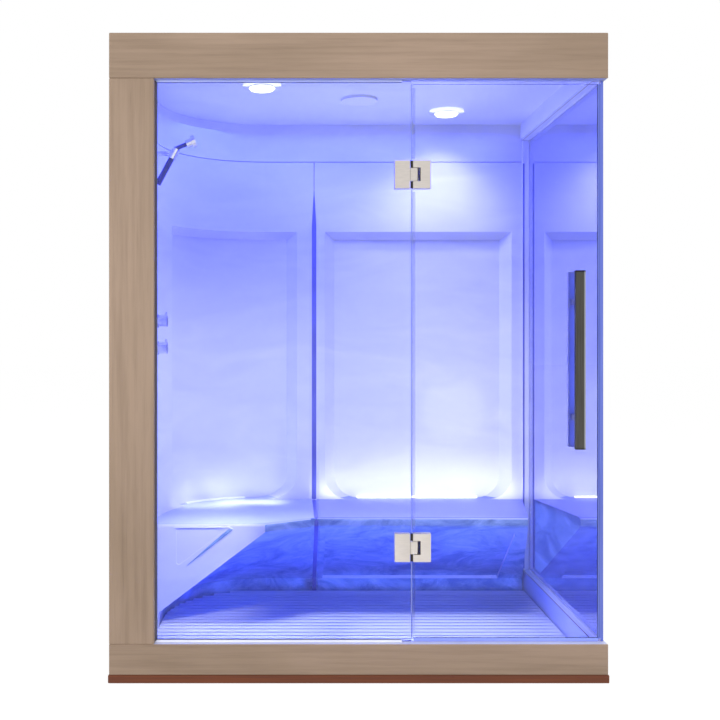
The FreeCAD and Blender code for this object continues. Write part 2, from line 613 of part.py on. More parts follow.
def right_wall_panel():
    """Flat back wall with a backrest recess and a seat, moulded in one shell."""
    skin = mm("shell")
    x0, x1 = mm(SPLIT) + mm("seam_gap") / 2, mm(POST_LEFT)
    wall, low, high = mm(WALL_BACK), mm(TRAY_TOP), mm(SEAM) - mm("seam_gap")
    r0, r1 = x0 + mm("recess_margin"), x1 - mm("recess_margin")
    deep = mm("recess_deep")
    slab = Part.makeBox(x1 - x0, skin, high - low, Vector(x0, wall, low))
    tub_low, tub_high = mm("seat_level") - skin, mm(RECESS_TOP) + skin
    tub = Part.makeBox(r1 - r0 + 2 * skin, deep + skin, tub_high - tub_low, Vector(r0 - skin, wall, tub_low))
    seat = Part.Face(closed(seat_corners(x0))).extrude(Vector(x1 - x0, 0, 0))
    nose_edges = [e for e in seat.Edges if e.Length > x1 - x0 - 1
                  and abs(e.CenterOfMass.y - (wall - mm("seat_deep"))) < 1]
    seat = seat.makeFillet(mm("nose_round"), nose_edges)
    seat = seat.cut([underside_panel(x0, x1 - mm("seat_taper")), seat_wedge(x1)])
    hollow = Part.Face(closed(seat_corners(x0 + skin, skin, skin + mm("rib_high"))))
    inner = hollow.extrude(Vector(x1 - x0 - 2 * skin, 0, 0)).cut(seat_wedge(x1, skin))
    bevel = mm("recess_bevel")
    recess = Part.makeLoft([
        backrest(r0, r1, (wall, mm(RECESS_TOP))),
        backrest(r0 + bevel, r1 - bevel, (wall + deep, mm(RECESS_TOP) - mm("recess_lintel")))], True, True)
    edges = rolled_wall_edge(x0, 1) + [rolled_seat_edge(x0, 1)]
    return slab.fuse([tub, seat]).cut([inner, recess] + edges).removeSplitter()


def corner_void(grow=0):
    """The room under the corner seat: it narrows from the whole floor to the seat's front edge.

    Grown by a wall thickness it shapes the back of the shell, where flat facets stand for the arc.
    """
    over = mm("beyond")
    split, wall, left = mm(SPLIT) + over, mm(WALL_BACK), mm(WALL_LEFT)
    radius, out = mm("corner_radius") - mm("kick_set") + grow, mm("kick_set") - grow
    mid_x, mid_y = left + mm("corner_radius"), wall - mm("corner_radius")
    seat_front, corner_front = wall - mm("seat_deep") + grow, wall - mm("corner_seat_deep") + grow
    gusset_x = left + mm("corner_seat_wide") - grow
    front = wall - mm("corner_seat_deep") - over
    facets = 3

    def round_foot(z):
        start, end = (mid_x, wall - out, z), (left + out, mid_y, z)
        if not grow:
            slant = radius * math.sqrt(0.5)
            return [arc(start, (mid_x - slant, mid_y + slant, z), end)]
        step = math.pi / 2 / facets
        outer = radius / math.cos(step / 2)
        turns = [(k + 0.5) * step for k in range(facets)]
        corners = [(mid_x - outer * math.sin(a), mid_y + outer * math.cos(a), z) for a in turns]
        return polyline(start, *corners, end)

    def front_edge(z):
        bend = ((mm(SPLIT) + gusset_x) / 2, (seat_front + corner_front) / 2, z)
        tip = (gusset_x, corner_front, z)
        if not grow:
            bow = mm("front_bow")
            middle = ((bend[0] + tip[0]) / 2 - bow, (bend[1] + tip[1]) / 2 + bow, z)
            return [arc(bend, middle, tip)]
        shares = [k / (facets + 1) for k in range(1, facets + 1)]
        return polyline(bend, *[(bend[0] + (tip[0] - bend[0]) * s, bend[1] + (tip[1] - bend[1]) * s, z)
                                for s in shares], tip)

    def section(z, curve, right_y, left_x):
        a, b = curve[0].StartPoint[:], curve[-1].EndPoint[:]
        right, far_left, far_right = (split, right_y, z), (left_x, front, z), (split, front, z)
        return wire(segment(right, a), *curve, segment(b, far_left), segment(far_left, far_right),
                    segment(far_right, right))

    def foot(z):
        return section(z, round_foot(z), wall - out, left + out)

    kick_top = mm(TRAY_TOP) + mm("kick_high") + grow
    nose = mm("seat_level") - mm("nose_high") + grow * 0.6
    slope = Part.makeLoft([foot(kick_top), section(nose, front_edge(nose), seat_front, gusset_x)], True, True)
    low = mm(TRAY_TOP) - 2 * over
    kick = Part.Face(foot(low)).extrude(Vector(0, 0, kick_top - low))
    return slope.fuse(kick)


def corner_block(inset, outward, high):
    """The corner seat's plan: front edge, gusset and the wall line behind it."""
    end_x = mm(SPLIT) - mm("seam_gap") / 2 - inset
    wall, left, low = mm(WALL_BACK), mm(WALL_LEFT), mm(TRAY_TOP) - (inset and mm("beyond"))
    seat_front, corner_front = wall - mm("seat_deep") + inset, wall - mm("corner_seat_deep") + inset
    gusset_x = left + mm("corner_seat_wide")
    line = wall_line(outward, low, end_x, corner_front)
    edges = line + [
        segment(line[-1].EndPoint[:], (gusset_x, corner_front, low)),
        segment((gusset_x, corner_front, low), (end_x, seat_front, low)),
        segment((end_x, seat_front, low), line[0].StartPoint[:]),
    ]
    return Part.Face(wire(*edges)).extrude(Vector(0, 0, high - low))


def gusset_triangle():
    """The sunk triangle in the upright face of the corner seat."""
    front, left = mm(WALL_BACK) - mm("corner_seat_deep"), mm(WALL_LEFT) + mm("gusset_side")
    right = mm(WALL_LEFT) + mm("corner_seat_wide") - mm("gusset_end")
    top = mm("seat_level") - mm("nose_round") - mm("gusset_top")
    rise = mm("seat_level") - mm("nose_high") - mm(TRAY_TOP) - mm("kick_high")
    low = top - (right - left) * rise / (mm("corner_seat_wide") - mm("kick_set"))
    start = front - mm("graze")
    corners = [Vector(left, start, top), Vector(right, start, top), Vector(left, start, low)]
    tool = Part.Face(closed(corners)).extrude(Vector(0, mm("gusset_deep") + mm("graze"), 0))
    edges = [e for e in tool.Edges if abs(e.tangentAt(e.FirstParameter).y) > 0.99]
    return tool.makeFillet(mm("gusset_round"), edges)


def corner_recess():
    """The curved backrest recess: a bevelled tool that follows the wall line round the corner."""
    wall, left, radius = mm(WALL_BACK), mm(WALL_LEFT), mm("corner_radius")
    mid_x, mid_y = left + radius, wall - radius
    deep, bevel, turn = mm("recess_deep"), mm("recess_bevel"), math.radians(mm("recess_turn"))
    end_x = mm(SPLIT) - mm("recess_margin") * 1.6
    low, high, over = mm("seat_level"), mm(RECESS_TOP), mm("graze")

    def on_arc(r, angle):
        return (mid_x - r * math.sin(angle), mid_y + r * math.cos(angle), low)

    near, far = radius - over, radius + deep
    far_turn = turn - bevel / far
    edges = [
        segment((end_x, wall - over, low), (mid_x, wall - over, low)),
        arc((mid_x, wall - over, low), on_arc(near, turn / 2), on_arc(near, turn)),
        segment(on_arc(near, turn), on_arc(far, far_turn)),
        arc(on_arc(far, far_turn), on_arc(far, far_turn / 2), (mid_x, wall + deep, low)),
        segment((mid_x, wall + deep, low), (end_x - bevel, wall + deep, low)),
        segment((end_x - bevel, wall + deep, low), (end_x, wall - over, low)),
    ]
    tool = Part.Face(wire(*edges)).extrude(Vector(0, 0, high - low))

    # The top of the recess slopes down towards its floor, straight and then round the corner
    lintel = mm("recess_lintel")
    eave = [Vector(mid_x, wall - over, high), Vector(mid_x, wall + deep + over, high),
            Vector(mid_x, wall + deep + over, high - lintel)]
    eave_face = Part.Face(closed(eave))
    straight = eave_face.extrude(Vector(end_x - mid_x, 0, 0))
    rounded = eave_face.revolve(Vector(mid_x, mid_y, 0), Vector(0, 0, 1), mm("recess_turn"))

    # Seen square on from the room, the lower corners are rounded
    across, inward = Vector(1, 1, 0).normalize(), Vector(-1, 1, 0).normalize()
    edge_a = across.dot(Vector(*on_arc(near, turn)))
    edge_b = across.dot(Vector(end_x, wall, 0))
    r = mm("recess_corner")
    k = r * (1 - math.sqrt(0.5))

    def seen(u, z):
        return tuple(across * u - inward * 2 * radius + Vector(0, 0, z))

    window = wire(
        segment(seen(edge_a + r, low), seen(edge_b - r, low)),
        arc(seen(edge_b - r, low), seen(edge_b - k, low + k), seen(edge_b, low + r)),
        segment(seen(edge_b, low + r), seen(edge_b, high + over)),
        segment(seen(edge_b, high + over), seen(edge_a, high + over)),
        segment(seen(edge_a, high + over), seen(edge_a, low + r)),
        arc(seen(edge_a, low + r), seen(edge_a + k, low + k), seen(edge_a + r, low)),
    )
    rounded_window = Part.Face(window).extrude(inward * 5 * radius)
    return tool.cut([straight, rounded]).common(rounded_window)


def corner_tub():
    """The outside of the curved recess."""
    skin = mm("shell")
    wall, left, radius = mm(WALL_BACK), mm(WALL_LEFT), mm("corner_radius")
    mid_x, mid_y = left + radius, wall - radius
    reach = math.radians(mm("recess_turn")) + skin / radius
    end_x = mm(SPLIT) - mm("recess_margin") * 1.6 + skin
    low, high = mm("seat_level") - skin, mm(RECESS_TOP) + skin
    near, far = radius + skin / 2, radius + mm("recess_deep") + skin

    def on_arc(r, angle):
        return (mid_x - r * math.sin(angle), mid_y + r * math.cos(angle), low)

    edges = [
        segment((end_x, mid_y + near, low), (mid_x, mid_y + near, low)),
        arc((mid_x, mid_y + near, low), on_arc(near, reach / 2), on_arc(near, reach)),
        segment(on_arc(near, reach), on_arc(far, reach)),
        arc(on_arc(far, reach), on_arc(far, reach / 2), (mid_x, mid_y + far, low)),
        segment((mid_x, mid_y + far, low), (end_x, mid_y + far, low)),
        segment((end_x, mid_y + far, low), (end_x, mid_y + near, low)),
    ]
    return Part.Face(wire(*edges)).extrude(Vector(0, 0, high - low))


def left_wall_panel():
    """Left half of the back wall, the rounded corner, the left wall and the corner seat in one shell."""
    skin = mm("shell")
    end_x = mm(SPLIT) - mm("seam_gap") / 2
    low, high = mm(TRAY_TOP), mm(SEAM) - mm("seam_gap")
    wall = curved_slab(0, skin, end_x, mm(FRAME_REAR), low, high)
    seat = corner_block(0, skin / 2, mm("seat_level")).cut(corner_void())
    front_y = mm(WALL_BACK) - mm("seat_deep") + 1
    nose_edges = [e for e in seat.Edges if e.BoundBox.ZMin > mm("seat_level") - 0.1
                  and e.CenterOfMass.y < front_y and e.CenterOfMass.x > mm(WALL_LEFT) + skin]
    seat = seat.makeFillet(mm("nose_round"), nose_edges)
    inner = corner_block(skin, skin + mm("beyond"), mm("seat_level") - skin).cut(corner_void(skin))
    half = mm("cartridge_half") + mm("wall_hole_gap")
    holes = [Part.makeBox(3 * skin, 2 * half, 2 * half,
                          Vector(mm(WALL_LEFT) - 2 * skin, -mm("valve_y") - half, z - half))
             for z in (mm("valve_low"), mm("valve_low") + mm("valve_rise"))]
    holes.append(Part.makeCylinder(mm("pipe_radius"), 3 * skin,
                                   Vector(mm(WALL_LEFT) - 2 * skin, -mm("nozzle_y"), mm("nozzle_level")),
                                   Vector(1, 0, 0)))
    hollows = [inner, corner_recess(), gusset_triangle()]
    hollows += rolled_wall_edge(end_x, -1) + [rolled_seat_edge(end_x, -1)]
    return wall.fuse([corner_tub(), seat]).cut(hollows + holes).removeSplitter()


piece(free_shape("right_moulding", right_wall_panel()), "wall_panel_right")
piece(free_shape("left_moulding", left_wall_panel()), "wall_panel_left")


def many_sided(x, y, z, radius):
    """A level polygon for a round opening."""
    count = int(mm("round_sides"))
    turns = [2 * math.pi * k / count for k in range(count)]
    return Part.Face(closed([Vector(x + radius * math.cos(a), y + radius * math.sin(a), z) for a in turns]))


def ceiling_dome():
    """Flat ceiling, open where the lights and the vent sit."""
    right, front = mm(RIGHT_INNER), mm(FRAME_REAR)
    level, thick = mm(CEILING), mm("ceiling_thick")
    line = wall_line(mm("shell"), level, right, front)
    edges = line + [segment(line[-1].EndPoint[:], (right, front, level)),
                    segment((right, front, level), line[0].StartPoint[:])]
    holes = [many_sided(x, y, level - thick, radius).extrude(Vector(0, 0, 4 * thick))
             for x, y, radius in ceiling_holes()]
    return Part.Face(wire(*edges)).extrude(Vector(0, 0, thick)).cut(holes)


def ceiling_skirts():
    """The skirt down to the wall panels, and the short lips behind the front and right headers."""
    skin = mm("shell")
    right, front, stile = mm(RIGHT_INNER), mm(FRAME_REAR), mm(STILE_RIGHT)
    level, lip = mm(CEILING), mm(HEADER_BOTTOM)
    skirt = curved_slab(0, skin, mm(POST_LEFT), front, mm(SEAM), level)
    front_lip = Part.makeBox(right - stile, skin, level - lip, Vector(stile, front, lip))
    right_lip = Part.makeBox(skin, mm(POST_FRONT) - front - skin, level - lip,
                             Vector(right - skin, front + skin, lip))
    return Part.makeCompound([skirt, front_lip, right_lip])


def ceiling_holes():
    """Centres and radii of the openings for the two downlights and the vent."""
    x, dx, dy = mm("vent_x"), mm("light_x"), mm("light_y")
    lens, duct = mm("lens_radius"), mm("vent_duct") + mm("lens_gap")
    return [(x - dx, -dy, lens), (x + dx, dy, lens), (x, 0, duct)]


piece(free_shape("dome", ceiling_dome()), "ceiling_dome")
piece(free_shape("skirts", ceiling_skirts()), "ceiling_skirt")

# Downlights, ceiling vent and the light strips under the backrests

LIGHTS = {"left": ("vent_x-light_x", "-light_y"), "right": ("vent_x+light_x", "light_y")}
LENS_EDGE = "(lens_radius-lens_gap)"
LENS_STEP = f"({CEILING}-lens_drop*2/3)"
bezels, lenses, lamp_bodies = [], [], []
for side, at in LIGHTS.items():
    x, y = at
    rim = prism(f"bezel_rim_{side}", "bezel_radius", f"{CEILING}-bezel_high", CEILING, "round_sides", at)
    hole = prism(f"bezel_hole_{side}", "lens_radius+lens_gap", f"{CEILING}-2*bezel_high",
                 f"{CEILING}+bezel_high", "round_sides", at)
    bezels.append(cut(f"bezel_{side}", rim, hole))
    lens_top = prism(f"lens_top_{side}", LENS_EDGE, LENS_STEP, f"{CEILING}+ceiling_thick", "round_sides", at)
    lens_foot = prism(f"lens_foot_{side}", "lens_radius-lens_round", f"{CEILING}-lens_drop", LENS_STEP,
                      "round_sides", at)
    lenses.append(join(f"lens_{side}", lens_top, lens_foot))
    lamp_bodies.append(block(f"can_{side}", (f"{x}-bezel_radius", f"{x}+bezel_radius"),
                             (f"{y}-bezel_radius", f"{y}+bezel_radius"),
                             (f"{CEILING}+ceiling_thick", f"{CEILING}+can_high")))
piece(join("bezels", *bezels), "downlight_bezels")
piece(join("lenses", *lenses), "downlight_lenses")
piece(join("lamp_bodies", *lamp_bodies), "downlight_bodies")

VENT_AT = ("vent_x", "0")
vent_cover = prism("vent_cover", "vent_radius", f"{CEILING}-vent_drop", CEILING, "round_sides", VENT_AT)
vent_pipe = prism("vent_pipe", "vent_duct", CEILING, f"{CEILING}+can_high", "round_sides", VENT_AT)
piece(join("vent", vent_cover, vent_pipe), "ceiling_vent")

LED_BACK = f"({WALL_BACK}+recess_deep)"
right_led = block("led_right", (f"{SPLIT}+recess_margin+recess_bevel+recess_corner",
                                f"{POST_LEFT}-recess_margin-recess_bevel-recess_corner"),
                  (f"{LED_BACK}-led_wide", LED_BACK), ("seat_level", "seat_level+led_high"))
piece(right_led, "light_strip_right")


def corner_light_strip():
    """The light strip that follows the foot of the curved recess."""
    wall, radius = mm(WALL_BACK), mm("corner_radius") + mm("recess_deep")
    mid_x, mid_y = mm(WALL_LEFT) + mm("corner_radius"), wall - mm("corner_radius")
    near, low = radius - mm("led_wide"), mm("seat_level")
    begin = 0.9 * mm("recess_corner") / radius
    reach = math.radians(mm("recess_turn")) - (mm("recess_bevel") + mm("recess_corner")) / radius

    def on_arc(r, angle):
        return (mid_x - r * math.sin(angle), mid_y + r * math.cos(angle), low)

    middle = (begin + reach) / 2
    edges = [
        arc(on_arc(near, begin), on_arc(near, middle), on_arc(near, reach)),
        segment(on_arc(near, reach), on_arc(radius, reach)),
        arc(on_arc(radius, reach), on_arc(radius, middle), on_arc(radius, begin)),
        segment(on_arc(radius, begin), on_arc(near, begin)),
    ]
    return Part.Face(wire(*edges)).extrude(Vector(0, 0, mm("led_high")))


piece(free_shape("led_left", corner_light_strip()), "light_strip_left")

# Glass, channels and seals


def hinge_notch(pane, x0, x1):
    """Cut-outs for both hinges in the edge of a pane."""
    return [block(f"{pane}_notch_{level}", (x0, x1), (f"{GLASS_FRONT}-1", f"{GLASS_REAR}+1"),
                  (f"{z}-hinge_high/2-notch_slack", f"{z}+hinge_high/2+notch_slack"))
            for level, z in HINGE_LEVELS.items()]


NOTCH_FIXED = f"({HINGE_X}-notch_reach)"
NOTCH_DOOR = f"({HINGE_X}+knuckle_radius+tongue_gap+notch_gap)"
fixed_pane = block("fixed_pane", (f"{STILE_RIGHT}+channel_wall", FIXED_RIGHT), (GLASS_FRONT, GLASS_REAR),
                   (f"{PLINTH_TOP}+channel_wall", f"{HEADER_BOTTOM}-channel_wall"))
fixed_notches = hinge_notch("fixed", NOTCH_FIXED, f"{FIXED_RIGHT}+1")
piece(cut("fixed_pane_cut", fixed_pane, *fixed_notches), "fixed_glass")

piece(block("side_pane", (SIDE_INNER, SIDE_OUTER), (GLASS_FRONT, f"{POST_FRONT}-channel_wall"),
            (f"{PLINTH_TOP}+channel_wall", f"{HEADER_BOTTOM}-channel_wall")), "side_glass")

HANDLE_Z = ("bar_low+stand_inset", "bar_low+bar_long-stand_inset")
door_pane = block("door_pane", (DOOR_LEFT, DOOR_RIGHT), (GLASS_FRONT, GLASS_REAR), (DOOR_BOTTOM, DOOR_TOP))
bolt_holes = [rod(f"bolt_hole_{i}", "stand_bolt+1", f"{GLASS_FRONT}-1", f"{GLASS_REAR}+1", "y", (BAR_X, z))
              for i, z in enumerate(HANDLE_Z)]
door_notches = hinge_notch("door", f"{DOOR_LEFT}-1", NOTCH_DOOR)
piece(cut("door_pane_cut", door_pane, *door_notches, *bolt_holes), "door_glass")

CHANNEL_FRONT = f"({GLASS_FRONT}-channel_wall-glazing_gap)"
CHANNEL_REAR = f"({GLASS_REAR}+channel_wall+glazing_gap)"


def channel(name, x, y, z, groove_x, groove_y, groove_z):
    """A U channel: a bar with a groove for the edge of the glass."""
    return cut(name, block(name + "_bar", x, y, z), block(name + "_groove", groove_x, groove_y, groove_z))


SLOT_Y = (f"{GLASS_FRONT}-glazing_gap", f"{GLASS_REAR}+glazing_gap")
FIXED_X = (STILE_RIGHT, f"{FIXED_RIGHT}-seal_stop")
fixed_channels = [
    channel("channel_sill", FIXED_X, (CHANNEL_FRONT, CHANNEL_REAR),
            (PLINTH_TOP, f"{PLINTH_TOP}+channel_deep"),
            (f"{STILE_RIGHT}-1", f"{FIXED_RIGHT}+1"), SLOT_Y, (f"{PLINTH_TOP}+channel_wall", "height")),
    channel("channel_head", FIXED_X, (CHANNEL_FRONT, CHANNEL_REAR),
            (f"{HEADER_BOTTOM}-channel_deep", HEADER_BOTTOM),
            (f"{STILE_RIGHT}-1", f"{FIXED_RIGHT}+1"), SLOT_Y, ("0", f"{HEADER_BOTTOM}-channel_wall")),
    channel("channel_jamb", (STILE_RIGHT, f"{STILE_RIGHT}+channel_deep"), (CHANNEL_FRONT, CHANNEL_REAR),
            (f"{PLINTH_TOP}+channel_deep", f"{HEADER_BOTTOM}-channel_deep"),
            (f"{STILE_RIGHT}+channel_wall", RIGHT), SLOT_Y, ("0", "height")),
]
piece(join("fixed_channels", *fixed_channels), "fixed_glass_channels")

SLOT_X = (f"{SIDE_INNER}-glazing_gap", f"{SIDE_OUTER}+glazing_gap")
CHANNEL_X = (f"{SIDE_INNER}-channel_wall-glazing_gap", f"{SIDE_OUTER}+channel_wall+glazing_gap")
SIDE_Y = (CHANNEL_REAR, POST_FRONT)
side_channels = [
    channel("side_sill", CHANNEL_X, SIDE_Y, (PLINTH_TOP, f"{PLINTH_TOP}+channel_deep"),
            SLOT_X, (FRONT, BACK), (f"{PLINTH_TOP}+channel_wall", "height")),
    channel("side_head", CHANNEL_X, SIDE_Y, (f"{HEADER_BOTTOM}-channel_deep", HEADER_BOTTOM),
            SLOT_X, (FRONT, BACK), ("0", f"{HEADER_BOTTOM}-channel_wall")),
    channel("side_jamb", CHANNEL_X, (f"{POST_FRONT}-channel_deep", POST_FRONT),
            (f"{PLINTH_TOP}+channel_deep", f"{HEADER_BOTTOM}-channel_deep"),
            SLOT_X, (FRONT, f"{POST_FRONT}-channel_wall"), ("0", "height")),
]
piece(join("side_channels", *side_channels), "side_glass_channels")

SEAL_Y = (GLASS_FRONT, GLASS_REAR)
LOW_HINGE, HIGH_HINGE = HINGE_LEVELS["lower"], HINGE_LEVELS["upper"]
CLEAR_OF_HINGE = "(hinge_high/2+2*notch_slack)"
gap_runs = [(DOOR_BOTTOM, f"{LOW_HINGE}-{CLEAR_OF_HINGE}"),
            (f"{LOW_HINGE}+{CLEAR_OF_HINGE}", f"{HIGH_HINGE}-{CLEAR_OF_HINGE}"),
            (f"{HIGH_HINGE}+{CLEAR_OF_HINGE}", DOOR_TOP)]
gap_seal = [block(f"gap_seal_{i}", (FIXED_RIGHT, f"{FIXED_RIGHT}+seal_thick"), SEAL_Y, run)
            for i, run in enumerate(gap_runs)]
piece(join("gap_seals", *gap_seal), "hinge_side_seal")
piece(block("sweep", (f"{DOOR_LEFT}+seal_thick", DOOR_RIGHT), SEAL_Y,
            (f"{DOOR_BOTTOM}-door_clear+sweep_gap", DOOR_BOTTOM)), "door_sweep")
HALF_STRIKE = "(strike_gap/2-seal_gap/2)"
DOOR_Z = (DOOR_BOTTOM, DOOR_TOP)
piece(block("door_magnet", (DOOR_RIGHT, f"{DOOR_RIGHT}+{HALF_STRIKE}"), SEAL_Y, DOOR_Z), "door_edge_seal")
piece(block("side_magnet", (f"{SIDE_INNER}-{HALF_STRIKE}", SIDE_INNER), SEAL_Y, DOOR_Z), "strike_seal")

# Glass hinges: a plate pair on each pane, and a tongue that carries the pin

LEAF_FRONT = f"({GLASS_FRONT}-leaf_thick)"
LEAF_REAR = f"({GLASS_REAR}+leaf_thick)"
LEAF_GAP_LEFT = f"({HINGE_X}-leaf_set)"
LEAF_GAP_RIGHT = f"({LEAF_GAP_LEFT}+leaf_gap)"
for level, z in HINGE_LEVELS.items():
    span = (f"{z}-hinge_high/2", f"{z}+hinge_high/2")
    tongue_span = (f"{z}-tongue_high/2", f"{z}+tongue_high/2")
    plate_x = (f"{LEAF_GAP_LEFT}-fixed_leaf_wide", LEAF_GAP_LEFT)
    plates = [block(f"fixed_plate_{level}_front", plate_x, (LEAF_FRONT, GLASS_FRONT), span),
              block(f"fixed_plate_{level}_rear", plate_x, (GLASS_REAR, LEAF_REAR), span)]
    tongue = block(f"tongue_{level}", (f"{NOTCH_FIXED}+notch_slack", HINGE_X),
                   (f"{LEAF_FRONT}+tongue_set", f"{LEAF_REAR}-tongue_set"), tongue_span)
    knuckle = rod(f"knuckle_{level}", "knuckle_radius", *tongue_span, "z", (HINGE_X, GLASS_MID))
    fixed_bore = rod(f"fixed_bore_{level}", "pin_radius", *span, "z", (HINGE_X, GLASS_MID))
    piece(cut(f"fixed_leaf_{level}", join(f"fixed_leaf_body_{level}", *plates, tongue, knuckle), fixed_bore),
          f"hinge_{level}_fixed_leaf")
    leaf = block(f"door_plate_{level}", (LEAF_GAP_RIGHT, f"{LEAF_GAP_RIGHT}+door_leaf_wide"),
                 (LEAF_FRONT, LEAF_REAR), span)
    slot = block(f"door_slot_{level}", (NOTCH_DOOR, RIGHT), (GLASS_FRONT, GLASS_REAR), ("0", "height"))
    window = block(f"window_{level}", (f"{LEAF_GAP_RIGHT}-1", f"{HINGE_X}+knuckle_radius+tongue_gap"),
                   (f"{LEAF_FRONT}-1", f"{LEAF_REAR}+1"),
                   (f"{tongue_span[0]}-tongue_slack", f"{tongue_span[1]}+tongue_slack"))
    door_bore = rod(f"door_bore_{level}", "pin_radius+running_gap", f"{span[0]}-1", f"{span[1]}+1", "z",
                    (HINGE_X, GLASS_MID))
    piece(cut(f"door_leaf_{level}", leaf, slot, window, door_bore), f"hinge_{level}_door_leaf")
    piece(rod(f"pin_{level}", "pin_radius", *span, "z", (HINGE_X, GLASS_MID)), f"hinge_{level}_pin")

# Door handle: a bar on each side of the glass, bolted through it

BAR_Z = ("bar_low", "bar_low+bar_long")
BAR_SIDES = {
    "outer": (f"{GLASS_FRONT}-stand_off-bar_deep", f"{GLASS_FRONT}-stand_off"),
    "inner": (f"{GLASS_REAR}+stand_off", f"{GLASS_REAR}+stand_off+bar_deep"),
}
for side, span in BAR_SIDES.items():
    board(f"handle_bar_{side}", (f"{BAR_X}-bar_wide/2", f"{BAR_X}+bar_wide/2"), span, BAR_Z)
stand_offs = []
for i, z in enumerate(HANDLE_Z):
    across, up = (f"{BAR_X}-stand_half", f"{BAR_X}+stand_half"), (f"{z}-stand_half", f"{z}+stand_half")
    stand_offs += [
        block(f"stand_{i}_outer", across, (BAR_SIDES["outer"][1], GLASS_FRONT), up),
        rod(f"stand_{i}_bolt", "stand_bolt", GLASS_FRONT, GLASS_REAR, "y", (BAR_X, z)),
        block(f"stand_{i}_inner", across, (GLASS_REAR, BAR_SIDES["inner"][0]), up),
    ]
piece(join("stand_offs", *stand_offs), "handle_standoffs")

# Shower controls on the left wall

VALVE_Y = "(-valve_y)"
ALONG_X = Rotation(Vector(0, 1, 0), 90)
VALVES = {"lower": "valve_low", "upper": "(valve_low+valve_rise)"}
KNOB_START, KNOB_END = "(rose_thick+knob_gap)", "(rose_thick+knob_long)"
COLLAR_END = f"({KNOB_START}+knob_collar)"
ROSE_OUT = f"({WALL_LEFT}+rose_thick)"
ROSE_Y = (f"{VALVE_Y}-rose_half", f"{VALVE_Y}+rose_half")
cartridges, roses = [], []
for level, z in VALVES.items():
    bore = rod(f"spindle_bore_{level}", "spindle_radius+running_gap", f"{WALL_SKIN_LEFT}-running_gap",
               f"{ROSE_OUT}+1", "x", (VALVE_Y, z))
    plate = block(f"rose_plate_{level}", (WALL_LEFT, ROSE_OUT), ROSE_Y, (f"{z}-rose_half", f"{z}+rose_half"))
    roses.append(cut(f"rose_{level}", plate, bore))
    spindle = rod(f"spindle_{level}", "spindle_radius", WALL_SKIN_LEFT, f"{WALL_LEFT}+{KNOB_START}", "x",
                  (VALVE_Y, z))
    collar = prism(f"collar_{level}", "knob_radius", KNOB_START, COLLAR_END)
    knob = join(f"knob_{level}", collar, prism(f"tip_{level}", "knob_radius-knob_step", COLLAR_END, KNOB_END))
    place(knob, WALL_LEFT, VALVE_Y, z, turn=ALONG_X)
    lever = block(f"lever_{level}", (f"{WALL_LEFT}+{KNOB_END}-lever_wide", f"{WALL_LEFT}+{KNOB_END}"),
                  (f"{VALVE_Y}-lever_wide/2", f"{VALVE_Y}+lever_wide/2"), (z, f"{z}+knob_radius+lever_long"))
    piece(join(f"control_{level}", spindle, knob, lever), f"control_knob_{level}")
    valve_body = block(f"cartridge_{level}", (f"{WALL_SKIN_LEFT}-cartridge_deep", WALL_LEFT),
                       (f"{VALVE_Y}-cartridge_half", f"{VALVE_Y}+cartridge_half"),
                       (f"{z}-cartridge_half", f"{z}+cartridge_half"))
    cartridges.append(cut(f"cartridge_cut_{level}", valve_body, bore))
piece(join("roses", *roses), "control_roses")
link = block("valve_link", (f"{WALL_SKIN_LEFT}-cartridge_deep", f"{WALL_SKIN_LEFT}-cartridge_deep/4"),
             (f"{VALVE_Y}-spindle_radius", f"{VALVE_Y}+spindle_radius"), (VALVES["lower"], VALVES["upper"]))
piece(join("valve", *cartridges, link), "shower_valve")

# Hand shower in its swivelling holder

HOLDER_X = f"({WALL_LEFT}+bracket_reach)"
ARM_END = "(bracket_reach-holder_reach)"
bracket_plate = block("bracket_foot", (WALL_LEFT, f"{WALL_LEFT}+bracket_thick"),
                      (f"{VALVE_Y}-bracket_half", f"{VALVE_Y}+bracket_half"),
                      (f"{BRACKET}-bracket_half", f"{BRACKET}+bracket_half"))
bracket_arm = rod("bracket_bar", "bracket_arm", f"{WALL_LEFT}+bracket_thick", f"{WALL_LEFT}+{ARM_END}", "x",
                  (VALVE_Y, BRACKET))
piece(join("bracket", bracket_plate, bracket_arm), "shower_bracket")



def leaning(name, radius, start, end, lean, at):
    """A many-sided bar between two bound distances along an axis that leans to the right."""
    made = doc.addObject("Part::Prism", name)
    bind(made, Polygon="grip_sides", Circumradius=radius, Height=f"({end})-({start})")
    return place(made, f"{at[0]}+({start})*sin({lean})", at[1], f"{at[2]}+({start})*cos({lean})",
                 turn=Rotation(Vector(0, 1, 0), mm(lean)))


HOLDER_AT = (HOLDER_X, VALVE_Y, BRACKET)
socket = rod("holder_socket", "bracket_arm", f"{WALL_LEFT}+{ARM_END}+running_gap", HOLDER_X, "x",
             (VALVE_Y, BRACKET))
clasp = leaning("clasp", "grip_radius+clasp_wall", "-clasp_high/2", "clasp_high/2", "grip_lean", HOLDER_AT)
bore = leaning("clasp_bore", "grip_radius+running_gap", "-clasp_high", "clasp_high", "grip_lean", HOLDER_AT)
piece(cut("holder", join("holder_body", socket, clasp), bore), "shower_holder")

GRIP_TOP = (f"({HOLDER_X}+grip_rise*sin(grip_lean))", VALVE_Y, f"({BRACKET}+grip_rise*cos(grip_lean))")
grip = leaning("grip_bar", "grip_radius", "-grip_long", "grip_rise", "grip_lean", HOLDER_AT)
neck = leaning("neck", "neck_radius", "-neck_radius/2", "neck_long", "neck_lean", GRIP_TOP)
piece(join("grip", grip, neck), "shower_grip")
HEAD_BACK = "(neck_long+head_back)"
head_cone = leaning("head_cone", "head_radius-head_step", "neck_long", HEAD_BACK, "neck_lean", GRIP_TOP)
head_face = leaning("head_face", "head_radius", HEAD_BACK, f"{HEAD_BACK}+head_rim", "neck_lean", GRIP_TOP)
piece(join("head", head_cone, head_face), "shower_head")

